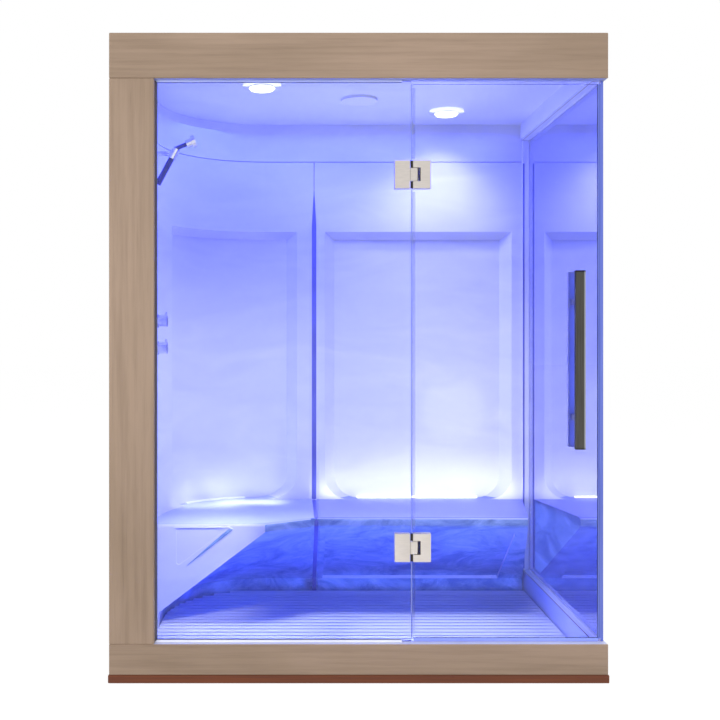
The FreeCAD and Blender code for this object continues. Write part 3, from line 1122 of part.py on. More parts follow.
# Steam generator in the corner seat, its pipe and the outlet in the left wall

BOILER_X = (BOILER_LEFT, f"({BOILER_LEFT}+boiler_wide)")
BOILER_Y = (f"({CAVITY_BACK}-boiler_deep)", CAVITY_BACK)
casing = block("boiler_casing", BOILER_X, BOILER_Y, ("boiler_level", "boiler_level+boiler_high"))
chamber = block("boiler_chamber", (f"{BOILER_X[0]}+boiler_wall", f"{BOILER_X[1]}-boiler_wall"),
                (f"{BOILER_Y[0]}+boiler_wall", f"{BOILER_Y[1]}-boiler_wall"),
                ("boiler_level+boiler_wall", "boiler_level+boiler_high-boiler_wall"))
INLET_AT = (INLET_X, BOILER_MID)
inlet = rod("inlet_stub", "inlet_radius+inlet_wall", f"{BACK}-inlet_deep-inlet_wall", BACK, "y", INLET_AT)
inlet_bore = rod("inlet_bore", "inlet_radius", f"{BACK}-inlet_deep", f"{BACK}+1", "y", INLET_AT)
boiler_body = join("boiler_body", cut("boiler_shell", casing, chamber), inlet)
piece(cut("boiler", boiler_body, inlet_bore), "steam_generator")

PIPE_X = f"({CAVITY_LEFT}+pipe_radius+pipe_clear)"
PIPE_Y = f"({CAVITY_BACK}-batten-pipe_radius-pipe_clear)"


def steam_pipe():
    """Pipe from the generator along the cavity behind the left wall to the outlet, with mitred elbows."""
    z, x, y, end_y = mm("nozzle_level"), mm(PIPE_X), mm(PIPE_Y), -mm("nozzle_y")
    start_x, end_x = mm(BOILER_LEFT), mm(WALL_LEFT)
    corners = [(start_x, y), (x, y), (x, end_y), (end_x, end_y)]
    path = Part.makePolygon([Vector(*corner, z) for corner in corners])
    ring = Part.Wire([Part.Circle(Vector(start_x, y, z), Vector(-1, 0, 0), mm("pipe_radius")).toShape()])
    return path.makePipeShell([ring], True, True, 1)


piece(free_shape("pipe", steam_pipe()), "steam_pipe")
board("steam_outlet", (WALL_LEFT, f"{WALL_LEFT}+nozzle_deep"),
      ("-nozzle_y-nozzle_half", "-nozzle_y+nozzle_half"),
      ("nozzle_level-nozzle_half", "nozzle_level+nozzle_half"))

doc.recompute()

# Checks, then one file for each piece

for obj in doc.Objects:
    if {"Invalid", "Error"} & set(obj.State):
        raise SystemExit(f"{obj.Label} did not recompute: {obj.State}")
for obj in PIECES:
    if obj.Shape.isNull() or not obj.Shape.isValid() or not obj.Shape.Solids:
        raise SystemExit(f"{obj.Label} is not a valid solid")
os.makedirs("parts", exist_ok=True)
for obj in PIECES:
    obj.Shape.exportStep(f"parts/{obj.Label}.step")
    box = obj.Shape.BoundBox
    ends = " ".join(f"{v:7.1f}" for v in (box.XMin, box.XMax, box.YMin, box.YMax, box.ZMin, box.ZMax))
    print(f"{obj.Label:24s} {len(obj.Shape.Solids):3d} solids  {obj.Shape.Volume / 1e6:8.3f} l  xyz {ends}")
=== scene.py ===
import math

import bmesh
import bpy
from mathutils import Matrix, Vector


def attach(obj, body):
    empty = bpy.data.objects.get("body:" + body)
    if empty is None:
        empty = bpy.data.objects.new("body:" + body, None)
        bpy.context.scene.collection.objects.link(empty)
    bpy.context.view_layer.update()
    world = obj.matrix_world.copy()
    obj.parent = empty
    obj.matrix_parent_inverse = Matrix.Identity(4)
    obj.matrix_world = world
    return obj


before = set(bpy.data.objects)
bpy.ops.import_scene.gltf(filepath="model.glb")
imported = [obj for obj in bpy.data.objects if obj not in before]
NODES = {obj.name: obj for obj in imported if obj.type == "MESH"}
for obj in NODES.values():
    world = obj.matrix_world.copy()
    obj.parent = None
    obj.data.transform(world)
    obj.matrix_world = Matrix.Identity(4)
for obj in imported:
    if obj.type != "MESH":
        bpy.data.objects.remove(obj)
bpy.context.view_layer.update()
scene = bpy.context.scene
scene.view_settings.view_transform = "Standard"

# Places on the CAD, in metres
HINGE_HEIGHTS = {"lower": 0.432, "upper": 1.646}
KNOB_HEIGHTS = {"control_knob_lower": 1.075, "control_knob_upper": 1.175}
POINTER_RISE = 0.0255  # from a knob's axis to its pointer
HANDLE_X = (0.696, 0.730)
HANDLE_Z = (0.755, 1.332)
JOINT_X = -0.122  # where the wall panels meet
SEAT_TOP = (0.405, 0.430)  # heights between which the seats' tops lie
SEAT_LIP = (0.380, 0.416)  # heights of the seats' front edges
SEAT_END = (0.60, 0.42)  # least x and greatest height of the right seat's end
WALL_FOOT = 0.130  # top of the walls' foot under the seats
PANE_FOOT, PANE_TOP = 0.15, 1.90  # heights that part the fixed pane's lower and upper channels from the upright
SIDE_PANE_FOOT = 0.20  # top of the side pane's lower channel
HINGE_WINDOW_WALL = (0.2010, 0.2036)  # x of the window's end wall in a door leaf
LAMP_MIDDLE = {"left": -0.204, "right": 0.180}  # y of the downlights


# Node building


class Shader:
    """A material with one Principled shader, and short calls for the textures that feed it."""

    def __init__(self, name, color=None, rough=0.5, metallic=0.0):
        self.material = bpy.data.materials.new(name)
        self.material.use_nodes = True
        self.tree = self.material.node_tree
        self.main = self.tree.nodes["Principled BSDF"]
        self.set("Roughness", rough)
        self.set("Metallic", metallic)
        if color is not None:
            self.set("Base Color", (*color, 1))

    def add(self, kind, **values):
        node = self.tree.nodes.new(kind)
        for key, value in values.items():
            setattr(node, key, value)
        return node

    def set(self, socket, value):
        self.main.inputs[socket].default_value = value

    def feed(self, socket, output):
        self.tree.links.new(output, self.main.inputs[socket])

    def place(self, scale, turn):
        """The piece's own coordinates, stretched and turned."""
        coords = self.add("ShaderNodeTexCoord")
        mapping = self.add("ShaderNodeMapping")
        mapping.inputs["Scale"].default_value = scale
        mapping.inputs["Rotation"].default_value = turn
        self.tree.links.new(coords.outputs["Object"], mapping.inputs["Vector"])
        return mapping.outputs["Vector"]

    def across(self, axis, low, high):
        """How far a point lies between two places along one axis, from 0 to 1."""
        coords = self.add("ShaderNodeTexCoord")
        split = self.add("ShaderNodeSeparateXYZ")
        share = self.add("ShaderNodeMapRange")
        share.inputs["From Min"].default_value = low
        share.inputs["From Max"].default_value = high
        self.tree.links.new(coords.outputs["Object"], split.inputs["Vector"])
        self.tree.links.new(split.outputs[axis.upper()], share.inputs["Value"])
        return share.outputs["Result"]

    def noise(self, scale, detail=4.0, rough=0.55, warp=0.0, turn=(0, 0, 0)):
        node = self.add("ShaderNodeTexNoise")
        node.inputs["Scale"].default_value = 1
        node.inputs["Detail"].default_value = detail
        node.inputs["Roughness"].default_value = rough
        node.inputs["Distortion"].default_value = warp
        self.tree.links.new(self.place(scale, turn), node.inputs["Vector"])
        return node.outputs["Fac"]

    def ramp(self, value, *stops):
        """Colours or greys at given places along a texture's value."""
        node = self.add("ShaderNodeValToRGB")
        elements = node.color_ramp.elements
        while len(elements) < len(stops):
            elements.new(0.5)
        for element, (at, color) in zip(elements, stops):
            element.position = at
            element.color = (*color, 1) if isinstance(color, tuple) else (color, color, color, 1)
        self.tree.links.new(value, node.inputs["Fac"])
        return node.outputs["Color"]

    def blend(self, a, b, share, mode="MIX"):
        """One colour laid over another; the share is a number or a texture."""
        node = self.add("ShaderNodeMix", data_type="RGBA", blend_type=mode)
        if isinstance(share, float):
            node.inputs[0].default_value = share
        else:
            self.tree.links.new(share, node.inputs[0])
        # Sockets 6 and 7 are the colours of this node, and output 2 its colour
        self.tree.links.new(a, node.inputs[6])
        self.tree.links.new(b, node.inputs[7])
        return node.outputs[2]

    def span(self, value, low, high):
        """A texture's value spread over a range."""
        node = self.add("ShaderNodeMapRange")
        node.inputs["To Min"].default_value = low
        node.inputs["To Max"].default_value = high
        self.tree.links.new(value, node.inputs["Value"])
        return node.outputs["Result"]

    def bump(self, value, depth, strength):
        node = self.add("ShaderNodeBump")
        node.inputs["Distance"].default_value = depth
        node.inputs["Strength"].default_value = strength
        self.tree.links.new(value, node.inputs["Height"])
        self.feed("Normal", node.outputs["Normal"])


def along(axis, length, across):
    """Texture scales of a grain that runs along one axis."""
    return tuple(length if k == axis else across for k in "xyz")


def toned(color, tone):
    """A colour times a tone, which is a number or one number for each channel."""
    tones = tone if isinstance(tone, tuple) else (tone, tone, tone)
    return tuple(c * t for c, t in zip(color, tones))


# Materials


def oak(axis):
    """Limed oak veneer with its grain along one axis."""
    s = Shader(f"oak_{axis}", rough=0.55)
    cloud = s.noise(along(axis, 1.3, 5.0), detail=3, rough=0.5, warp=0.4)
    streak = s.noise(along(axis, 2.2, 70.0), detail=5, rough=0.6, warp=0.25)
    pores = s.noise(along(axis, 14.0, 520.0), detail=2, rough=0.5)
    body = s.ramp(cloud, (0.30, (0.300, 0.214, 0.150)), (0.52, (0.352, 0.253, 0.183)),
                  (0.74, (0.398, 0.285, 0.211)))
    lines = s.ramp(streak, (0.30, (0.84, 0.83, 0.82)), (0.55, (1.0, 1.0, 1.0)), (0.80, (1.07, 1.06, 1.05)))
    fleck = s.ramp(pores, (0.30, 0.86), (0.46, 1.0))
    s.feed("Base Color", s.blend(s.blend(body, lines, 1.0, "MULTIPLY"), fleck, 0.55, "MULTIPLY"))
    s.feed("Roughness", s.span(streak, 0.62, 0.46))
    s.bump(pores, depth=0.0006, strength=0.25)
    return s.material


def stained_edge():
    """Dark red-brown strip under the frame."""
    s = Shader("dark_stain", rough=0.5)
    streak = s.noise((3.0, 3.0, 160.0), detail=4, rough=0.6, warp=0.3)
    s.feed("Base Color", s.ramp(streak, (0.25, (0.094, 0.0235, 0.0075)), (0.6, (0.152, 0.039, 0.0122)),
                                (0.85, (0.197, 0.055, 0.019))))
    s.feed("Roughness", s.span(streak, 0.4, 0.58))
    s.bump(streak, depth=0.0008, strength=0.3)
    return s.material


def plain_board(axis):
    """Coated board with a quiet grain, for the faces against a wall."""
    s = Shader(f"plain_board_{axis}", rough=0.6)
    streak = s.noise(along(axis, 1.6, 45.0), detail=5, rough=0.6, warp=0.35)
    cloud = s.noise(along(axis, 0.9, 3.0), detail=2)
    body = s.ramp(cloud, (0.3, (0.50, 0.40, 0.30)), (0.7, (0.58, 0.47, 0.36)))
    lines = s.ramp(streak, (0.3, (0.88, 0.86, 0.84)), (0.6, (1.0, 1.0, 1.0)))
    s.feed("Base Color", s.blend(body, lines, 1.0, "MULTIPLY"))
    s.feed("Roughness", s.span(streak, 0.66, 0.5))
    s.bump(streak, depth=0.0005, strength=0.2)
    return s.material


def acrylic(name, tone=(1.0, 1.0, 1.0)):
    """Gloss acrylic with faint drawn streaks."""
    s = Shader(name, rough=0.2)
    streak = s.noise((2.2, 2.2, 7.0), detail=4, rough=0.5, warp=1.2, turn=(0.0, 0.35, 0.25))
    haze = s.noise((1.1, 1.1, 1.6), detail=2, rough=0.5, warp=0.3)
    s.feed("Base Color", s.ramp(streak, (0.32, toned((0.70, 0.73, 0.93), tone)),
                                (0.60, toned((0.76, 0.79, 0.95), tone)), (0.80, toned((0.82, 0.84, 0.96), tone))))
    s.feed("Roughness", s.span(haze, 0.26, 0.40))
    s.set("Specular IOR Level", 0.16)
    s.bump(haze, depth=0.004, strength=0.08)
    return s.material


def painted_shade_acrylic():
    """Painted shade: the acrylic of the sloping undersides, clouded and deeper and bluer in tone where shade falls
    under the seats.
    """
    s = Shader("acrylic_painted_shade", rough=0.45)
    cloud = s.noise((5.0, 5.0, 9.0), detail=10, rough=0.72, warp=0.8)
    s.feed("Base Color", s.ramp(cloud, (0.38, (0.13, 0.23, 0.50)), (0.52, (0.28, 0.42, 0.70)),
                                (0.64, (0.42, 0.56, 0.86))))
    s.feed("Roughness", s.span(cloud, 0.38, 0.52))
    s.set("Specular IOR Level", 0.12)
    s.bump(cloud, depth=0.003, strength=0.06)
    return s.material


def slat_plastic():
    """Satin slats, drawn lengthwise."""
    s = Shader("slat_white", rough=0.4)
    line = s.noise((2.0, 420.0, 160.0), detail=3, rough=0.5)
    haze = s.noise((3.0, 9.0, 9.0), detail=2)
    s.feed("Base Color", s.ramp(haze, (0.3, (0.72, 0.75, 0.92)), (0.7, (0.82, 0.84, 0.95))))
    s.feed("Roughness", s.span(line, 0.38, 0.54))
    s.set("Specular IOR Level", 0.2)
    s.bump(line, depth=0.0005, strength=0.25)
    return s.material


def glass(name, tint, ior, coat=0.0):
    """Toughened glass, with the slight waviness of the furnace and, where asked, a mirror-like coat."""
    s = Shader(name, rough=0.0)
    s.set("Coat Weight", coat)
    s.set("Coat IOR", 4.0)
    s.set("Coat Roughness", 0.0)
    wave = s.noise((1.5, 1.5, 4.0), detail=1, rough=0.4)
    s.feed("Base Color", s.ramp(wave, (0.3, toned(tint, 0.985)), (0.7, tint)))
    s.set("Transmission Weight", 1.0)
    s.set("IOR", ior)
    s.bump(wave, depth=0.0004, strength=0.01)
    return s.material


def glass_edge_painted_light():
    """Painted light: the ground edge of a pane, coloured with the blue of the cabin that it gathers."""
    s = Shader("glass_edge_painted_light", rough=0.25)
    streak = s.noise((90.0, 90.0, 3.0), detail=2)
    s.feed("Base Color", s.ramp(streak, (0.3, (0.085, 0.13, 0.58)), (0.7, (0.14, 0.20, 0.70))))
    s.set("Coat Weight", 0.6)
    s.feed("Roughness", s.span(streak, 0.18, 0.34))
    return s.material


def metal(name, color, rough, grain, spread=0.10):
    """Metal with fine marks along its grain, given as texture scales."""
    s = Shader(name, rough=rough, metallic=1.0)
    marks = s.noise(grain, detail=3, rough=0.6)
    s.feed("Base Color", s.ramp(marks, (0.3, toned(color, 0.90)), (0.65, color)))
    s.feed("Roughness", s.span(marks, rough - spread / 2, rough + spread / 2))
    s.bump(marks, depth=0.0002, strength=0.12)
    return s.material


def handle_coat():
    """Grey-brown coat drawn along the bar, with a painted highlight along its free edge, and dark at its ends."""
    s = Shader("handle_grey", rough=0.42, metallic=1.0)
    marks = s.noise((420.0, 420.0, 6.0), detail=4, rough=0.65)
    body = s.ramp(marks, (0.30, (0.060, 0.058, 0.052)), (0.70, (0.108, 0.104, 0.096)))
    edge_highlight = s.ramp(marks, (0.30, (0.30, 0.31, 0.34)), (0.70, (0.42, 0.43, 0.46)))
    edge = s.ramp(s.across("x", *HANDLE_X), (0.80, 0.0), (0.86, 1.0))
    ends = s.ramp(s.across("z", *HANDLE_Z), (0.004, 0.25), (0.010, 1.0), (0.988, 1.0), (0.994, 0.25))
    s.feed("Base Color", s.blend(s.blend(body, edge_highlight, edge), ends, 1.0, "MULTIPLY"))
    s.feed("Roughness", s.span(marks, 0.36, 0.48))
    s.bump(marks, depth=0.0003, strength=0.2)
    return s.material


def clear_fin():
    """Soft clear plastic, a little cloudy."""
    s = Shader("clear_fin", rough=0.25)
    cloud = s.noise((40.0, 40.0, 3.0), detail=2)
    s.feed("Base Color", s.ramp(cloud, (0.3, (0.70, 0.76, 0.97)), (0.7, (0.80, 0.85, 1.0))))
    s.feed("Alpha", s.span(cloud, 0.12, 0.21))
    return s.material


def coated(name, dark, light, rough, scale=300.0):
    """A painted or moulded surface with a fine even texture."""
    s = Shader(name, rough=rough)
    fine = s.noise((scale, scale, scale), detail=3)
    wide = s.noise((7.0, 7.0, 7.0), detail=2)
    s.feed("Base Color", s.ramp(wide, (0.3, dark), (0.7, light)))
    s.feed("Roughness", s.span(fine, rough - 0.06, rough + 0.06))
    s.bump(fine, depth=0.0003, strength=0.15)
    return s.material


def lit(name, color, strength):
    """A faintly mottled surface that glows: a diffuser with its lamp on, and the downlights' rings as a painted
    highlight.
    """
    s = Shader(name, color, rough=0.35)
    grain = s.noise((60.0, 60.0, 60.0), detail=2)
    s.feed("Emission Color", s.ramp(grain, (0.3, toned(color, 0.97)), (0.7, color)))
    s.set("Emission Strength", strength)
    return s.material


OAK = {axis: oak(axis) for axis in "xyz"}
BOARD = {axis: plain_board(axis) for axis in "xz"}
STAIN = stained_edge()
ACRYLIC = acrylic("acrylic")
# Painted shade: darker, bluer copies of the acrylic for the seats' tops
SEAT_TOP_SHADE = acrylic("acrylic_seat_painted_shade", (0.37, 0.43, 0.98))
CORNER_TOP_SHADE = acrylic("acrylic_corner_seat_painted_shade", (0.66, 0.72, 1.0))
UNDER_SHADE = painted_shade_acrylic()
SLAT = slat_plastic()
CLEAR = glass("clear_glass", (0.97, 0.975, 1.0), ior=1.30)
# Painted reflection: the side pane's deep blue tint stands in for the blue cabin mirrored in it
SIDE_BLUE_REFLECTION = glass("side_glass", (0.07, 0.10, 0.95), ior=2.0)
MIRROR_BLUE_REFLECTION = glass("side_glass_inner_painted_reflection", (0.07, 0.10, 0.95), ior=2.0, coat=1.0)
# Painted light: the blue of the panes' edges and of the seals on them
EDGE_BLUE_LIGHT = glass_edge_painted_light()
NICKEL = metal("satin_nickel", (0.70, 0.645, 0.60), 0.34, (40.0, 40.0, 420.0))
HANDLE = handle_coat()
FIN = clear_fin()
STEEL = metal("standoff_steel", (0.62, 0.62, 0.63), 0.30, (300.0, 12.0, 300.0))
CHROME = metal("chrome", (0.86, 0.87, 0.90), 0.08, (70.0, 70.0, 70.0), spread=0.05)
# Painted reflections on the controls: dark chrome on the knobs' ends, blue chrome on the roses' rims
CAP_DARK_REFLECTION = metal("chrome_painted_dark_reflection", (0.055, 0.055, 0.12), 0.25, (70.0, 70.0, 70.0), spread=0.05)
RIM_BLUE_REFLECTION = metal("chrome_painted_blue_reflection", (0.22, 0.24, 0.42), 0.25, (70.0, 70.0, 70.0), spread=0.05)
BRASS = metal("valve_brass", (0.62, 0.46, 0.20), 0.38, (160.0, 160.0, 160.0))
CASING = metal("casing_steel", (0.60, 0.61, 0.62), 0.36, (6.0, 400.0, 400.0))
COPPER = metal("copper", (0.72, 0.38, 0.24), 0.30, (60.0, 60.0, 60.0))
CHANNEL = metal("channel_metal", (0.16, 0.16, 0.22), 0.42, (14.0, 300.0, 14.0))
PROFILE = coated("white_profile", (0.66, 0.69, 0.90), (0.74, 0.77, 0.94), 0.34)
SATIN = coated("satin_steel", (0.40, 0.41, 0.50), (0.50, 0.51, 0.60), 0.30)
# Painted blue light on the header's underside and the fixed pane's upper channel
SOFFIT_BLUE_LIGHT = coated("board_painted_blue_light", (0.50, 0.57, 0.98), (0.58, 0.64, 1.0), 0.45)
SWEEP = coated("door_sweep", (0.28, 0.36, 0.96), (0.36, 0.44, 1.0), 0.35, scale=90.0)
# Painted shade: the dark blue of the seals in the joints
JOINT_SHADE = coated("joint_seal_and_shade", (0.075, 0.095, 0.44), (0.110, 0.135, 0.56), 0.35)
# Painted light: the clear seal coloured with the blue of the cabin
SEAL_BLUE_LIGHT = coated("clear_seal", (0.26, 0.32, 0.72), (0.34, 0.40, 0.80), 0.30, scale=90.0)
GRIP = coated("grip_black", (0.040, 0.050, 0.17), (0.060, 0.074, 0.24), 0.36)
# Dark rubber, also used as painted shade in the hinges
GASKET_AND_SHADE = coated("gasket", (0.014, 0.011, 0.010), (0.030, 0.024, 0.020), 0.6)
# White of the bezels, vent and trims, also used for painted highlights and painted light
WHITE_AND_HIGHLIGHT = coated("bezel_white", (0.80, 0.82, 0.95), (0.88, 0.89, 0.97), 0.25)
BODY = coated("lamp_body", (0.52, 0.52, 0.54), (0.60, 0.60, 0.61), 0.5)
LENS = lit("lamp_lens", (1.0, 1.0, 1.0), 3.0)
STRIP = lit("led_diffuser", (0.95, 0.97, 1.0), 2.0)
FAINT = lit("led_diffuser_left", (0.72, 0.77, 1.0), 0.35)
# Painted highlight: a glow on the downlights' rings, which are no lamps
RING_HIGHLIGHT = lit("bezel_painted_highlight", (0.90, 0.93, 1.0), 0.75)

LOOKS = {
    "plinth_front": OAK["x"], "header_front": OAK["x"], "header_back": OAK["x"],
    "plinth_right": OAK["y"], "header_right": OAK["y"], "header_left": OAK["y"],
    "front_stile": OAK["z"], "left_outer_panel": OAK["z"],
    "base_board": STAIN,
    "back_panel": BOARD["z"], "wall_battens": BOARD["z"], "roof_panel": BOARD["x"],
    "corner_post": PROFILE,
    "wall_panel_left": ACRYLIC, "wall_panel_right": ACRYLIC, "ceiling_dome": ACRYLIC,
    "ceiling_skirt": ACRYLIC, "shower_tray": ACRYLIC,
    "floor_slats": SLAT, "slat_bearers": SLAT,
    "fixed_glass": CLEAR, "door_glass": CLEAR, "side_glass": SIDE_BLUE_REFLECTION,
    "fixed_glass_channels": CHANNEL, "side_glass_channels": PROFILE,
    "hinge_side_seal": SEAL_BLUE_LIGHT, "door_sweep": SWEEP, "door_edge_seal": EDGE_BLUE_LIGHT, "strike_seal": EDGE_BLUE_LIGHT,
    "handle_bar_outer": HANDLE, "handle_bar_inner": SATIN, "handle_standoffs": STEEL,
    "control_roses": CHROME, "control_knob_lower": CHROME, "control_knob_upper": CHROME,
    "shower_bracket": CHROME, "shower_holder": CHROME, "shower_head": CHROME,
    "steam_outlet": CHROME, "waste_outlet": CHROME,
    "shower_grip": GRIP, "shower_valve": BRASS,
    "downlight_bezels": WHITE_AND_HIGHLIGHT, "ceiling_vent": WHITE_AND_HIGHLIGHT, "downlight_lenses": LENS, "downlight_bodies": BODY,
    "light_strip_left": FAINT, "light_strip_right": STRIP,
    "steam_generator": CASING, "steam_pipe": COPPER,
}
LOOKS.update({name: NICKEL for name in NODES if name.startswith("hinge_") and name != "hinge_side_seal"})
for name, node in NODES.items():
    node.data.materials.clear()
    node.data.materials.append(LOOKS[name])


# Materials on single faces of the CAD pieces

FACING = 0.9  # least share of a normal along an axis for a face that looks that way


def paint(name, material, chosen):
    """Another material on the faces that are chosen by their middle and normal."""
    mesh = NODES[name].data
    mesh.materials.append(material)
    for face in mesh.polygons:
        if chosen(face.center, face.normal):
            face.material_index = len(mesh.materials) - 1


# Masks of the faces that get painted shade under the seats
def under_seat(at, n):
    """Whether a face belongs to a seat's sloping underside or its front edge."""
    front_edge = n.y < -0.3 and at.z > SEAT_LIP[0] and at.y > -0.06
    return at.z < SEAT_LIP[1] and (n.z < -0.25 or front_edge)


def wall_foot(at, n):
    """Whether a face belongs to the upright foot of the walls under the seats."""
    return at.z < WALL_FOOT and at.y > 0 and abs(n.z) < 0.3 and (n.y < -0.3 or n.x > 0.3)


def in_front(n):
    """Whether a face of the fixed pane's channels can be seen from the front."""
    return n.y < 0.5 and abs(n.x) < 0.5


# The frame's boards are faced white towards the cabin and the side pane. Painted light: blue under the front header,
# and a whiter foot on the side pane's channels
paint("plinth_right", WHITE_AND_HIGHLIGHT, lambda at, n: n.x < -FACING or n.z > FACING)
paint("header_right", PROFILE, lambda at, n: n.x < -FACING or n.z < -FACING)
for name in ("plinth_front", "header_front", "front_stile"):
    paint(name, PROFILE, lambda at, n: n.y > FACING)
paint("side_glass_channels", WHITE_AND_HIGHLIGHT, lambda at, n: at.z < SIDE_PANE_FOOT)
paint("header_front", SOFFIT_BLUE_LIGHT, lambda at, n: n.z < -FACING)
paint("plinth_front", PROFILE, lambda at, n: n.z > FACING)

# Painted light on the fixed pane's channels: blue above under the header, and white below
paint("fixed_glass_channels", SOFFIT_BLUE_LIGHT, lambda at, n: at.z > PANE_TOP and in_front(n))
paint("fixed_glass_channels", WHITE_AND_HIGHLIGHT, lambda at, n: at.z < PANE_FOOT and in_front(n))

# The seats: painted shade on their sloping undersides, on the walls below them and on the right seat's end
for name in ("wall_panel_left", "wall_panel_right"):
    paint(name, UNDER_SHADE, under_seat)
    paint(name, UNDER_SHADE, wall_foot)
paint("wall_panel_right", UNDER_SHADE, lambda at, n: n.x > 0.5 and at.x > SEAT_END[0] and at.z < SEAT_END[1])
# Painted shade: the seats' tops in darker, bluer tones
for name, material in {"wall_panel_left": CORNER_TOP_SHADE, "wall_panel_right": SEAT_TOP_SHADE}.items():
    paint(name, material, lambda at, n: n.z > 0.7 and SEAT_TOP[0] < at.z < SEAT_TOP[1])

# Only the lower face of each lens shines, and the near half of each lamp's ring glows as a painted highlight
paint("downlight_lenses", PROFILE, lambda at, n: n.z > -0.5)
paint("downlight_bezels", RING_HIGHLIGHT, lambda at, n: at.y < LAMP_MIDDLE["right" if at.x > 0 else "left"])

# The controls: dark end faces as painted reflection, white tops as painted highlight, white pointers, and blue rims of
# the roses as painted reflection of the blue cabin
for name, axis in KNOB_HEIGHTS.items():
    paint(name, CAP_DARK_REFLECTION, lambda at, n: n.x > FACING)
    paint(name, WHITE_AND_HIGHLIGHT, lambda at, n: n.z > 0.6 or at.z > axis + POINTER_RISE)
paint("control_roses", RIM_BLUE_REFLECTION, lambda at, n: n.x < FACING)

# Painted shade: the window round each hinge's tongue is painted dark at its end
for level in HINGE_HEIGHTS:
    paint(f"hinge_{level}_door_leaf", GASKET_AND_SHADE,
          lambda at, n: n.x < -FACING and HINGE_WINDOW_WALL[0] < at.x < HINGE_WINDOW_WALL[1])

# The narrow edges of the panes carry painted blue light of the cabin, and the side pane is mirror-like towards the
# cabin, with a deep blue tint as painted reflection
for name in ("fixed_glass", "door_glass"):
    paint(name, EDGE_BLUE_LIGHT, lambda at, n: abs(n.x) > FACING or abs(n.z) > FACING)
paint("side_glass", EDGE_BLUE_LIGHT, lambda at, n: abs(n.y) > FACING)
paint("side_glass", MIRROR_BLUE_REFLECTION, lambda at, n: n.x < -FACING)


# Pieces too fine for the CAD


def piece(name, shells, material, body="cabin"):
    """One piece from closed shells of points and faces, riding on a body."""
    points, faces = [], []
    for corners, sides in shells:
        faces += [tuple(k + len(points) for k in side) for side in sides]
        points += corners
    mesh = bpy.data.meshes.new(name)
    mesh.from_pydata(points, [], faces)
    mesh.materials.append(material)
    shape = bmesh.new()
    shape.from_mesh(mesh)
    bmesh.ops.recalc_face_normals(shape, faces=shape.faces)
    shape.to_mesh(mesh)
    shape.free()
    made = bpy.data.objects.new(name, mesh)
    scene.collection.objects.link(made)
    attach(made, body)


def bar(rings):
    """Points and faces of a closed bar through rings of equally many points."""
    wide, last = len(rings[0]), len(rings) - 1
    faces = [tuple(reversed(range(wide))), tuple(range(last * wide, (last + 1) * wide))]
    for r in range(last):
        for k in range(wide):
            a, b = r * wide + k, r * wide + (k + 1) % wide
            faces.append((a, b, b + wide, a + wide))
    return [point for ring in rings for point in ring], faces


def upright(profile, low, high, thick=0.0008):
    """An upright strip: its front in plan, given as x and y, and its thickness behind."""
    back = [(x, y + thick) for x, y in reversed(profile)]
    return bar([[(x, y, z) for x, y in profile + back] for z in (low, high)])


# Seal in the joint between the wall panels, dark blue as painted shade of the joint; in side view: points at y and z,
# and how each moves as it is sunk
JOINT_PATH = (
    ((0.428, 1.737), (0.05, 0.0)),  # upper end, narrow and hardly sunk
    ((0.428, 1.587), (1.0, 0.0)),
    ((0.428, 0.422), (1.0, -1.0)),  # back of the seat
    ((0.049, 0.422), (1.0, -1.0)),  # rounded front edge
    ((0.039, 0.418), (1.0, -1.0)),
    ((0.035, 0.408), (1.0, -1.0)),
    ((0.035, 0.388), (1.0, 0.481)),  # sloping underside
    ((0.408, 0.090), (1.0, 0.481)),
    ((0.408, 0.034), (1.0, 0.0)),  # foot of the wall
)
JOINT_END = 0.15  # share of the width at the upper end
# Its section: places across the joint, and depths below the panels' faces
JOINT_SECTION = ((-0.0095, 0.0033), (-0.005, 0.0027), (0.0, 0.0025), (0.005, 0.0027), (0.0095, 0.0033),
                 (0.008, 0.0045), (-0.008, 0.0045))
rings = []
for k, ((y, z), (shift_y, shift_z)) in enumerate(JOINT_PATH):
    share = JOINT_END if k == 0 else 1.0
    rings.append([(JOINT_X + off * share, y + shift_y * deep, z + shift_z * deep) for off, deep in JOINT_SECTION])
piece("joint_seal_and_shade", [bar(rings)], JOINT_SHADE)

# Rolled bead round the sunk triangle of the gusset: white along its top as painted highlight, dark and wider along its
# slope as painted shade.
# A section gives places across the bead, as shares of its width, and their y
LIGHT_SECTION = ((-0.8, -0.0682), (0.0, -0.0708), (0.6, -0.0700), (1.0, -0.0681), (1.0, -0.0672), (-0.8, -0.0672))
DARK_SECTION = ((0.0, -0.0716), (0.6, -0.0704), (1.0, -0.0681), (1.0, -0.0672), (0.0, -0.0672))
# Points along the bead, at x and z, and its width there
LIGHT_PATH = ((-0.655, 0.406, 0.0016), (-0.451, 0.406, 0.0050), (-0.436, 0.399, 0.0020))
DARK_PATH = ((-0.436, 0.399, 0.0030), (-0.445, 0.390, 0.0125), (-0.497, 0.350, 0.0100), (-0.606, 0.264, 0.0015))


def bead_rings(path, section, sign):
    """Rings of a bead whose width is laid off square to its path, on the side given by the sign."""
    rings = []
    for k, (x, z, wide) in enumerate(path):
        before, after = path[max(k - 1, 0)], path[min(k + 1, len(path) - 1)]
        run = Vector((after[0] - before[0], after[1] - before[1])).normalized()
        away = Vector((-run.y, run.x)) * sign * wide
        rings.append([(x + away.x * u, y, z + away.y * u) for u, y in section])
    return rings


piece("gusset_bead_painted_highlight", [bar(bead_rings(LIGHT_PATH, LIGHT_SECTION, 1))], WHITE_AND_HIGHLIGHT)
piece("gusset_bead_painted_shade", [bar(bead_rings(DARK_PATH, DARK_SECTION, -1))], UNDER_SHADE)

# Seal between the right wall panel and the corner post, dark blue as painted shade of the joint
POST_PROFILE = [(0.7665, 0.4178), (0.7682, 0.4166), (0.7718, 0.4166), (0.7735, 0.4178)]
piece("post_seal", [upright(POST_PROFILE, 0.130, 1.853)], JOINT_SHADE)

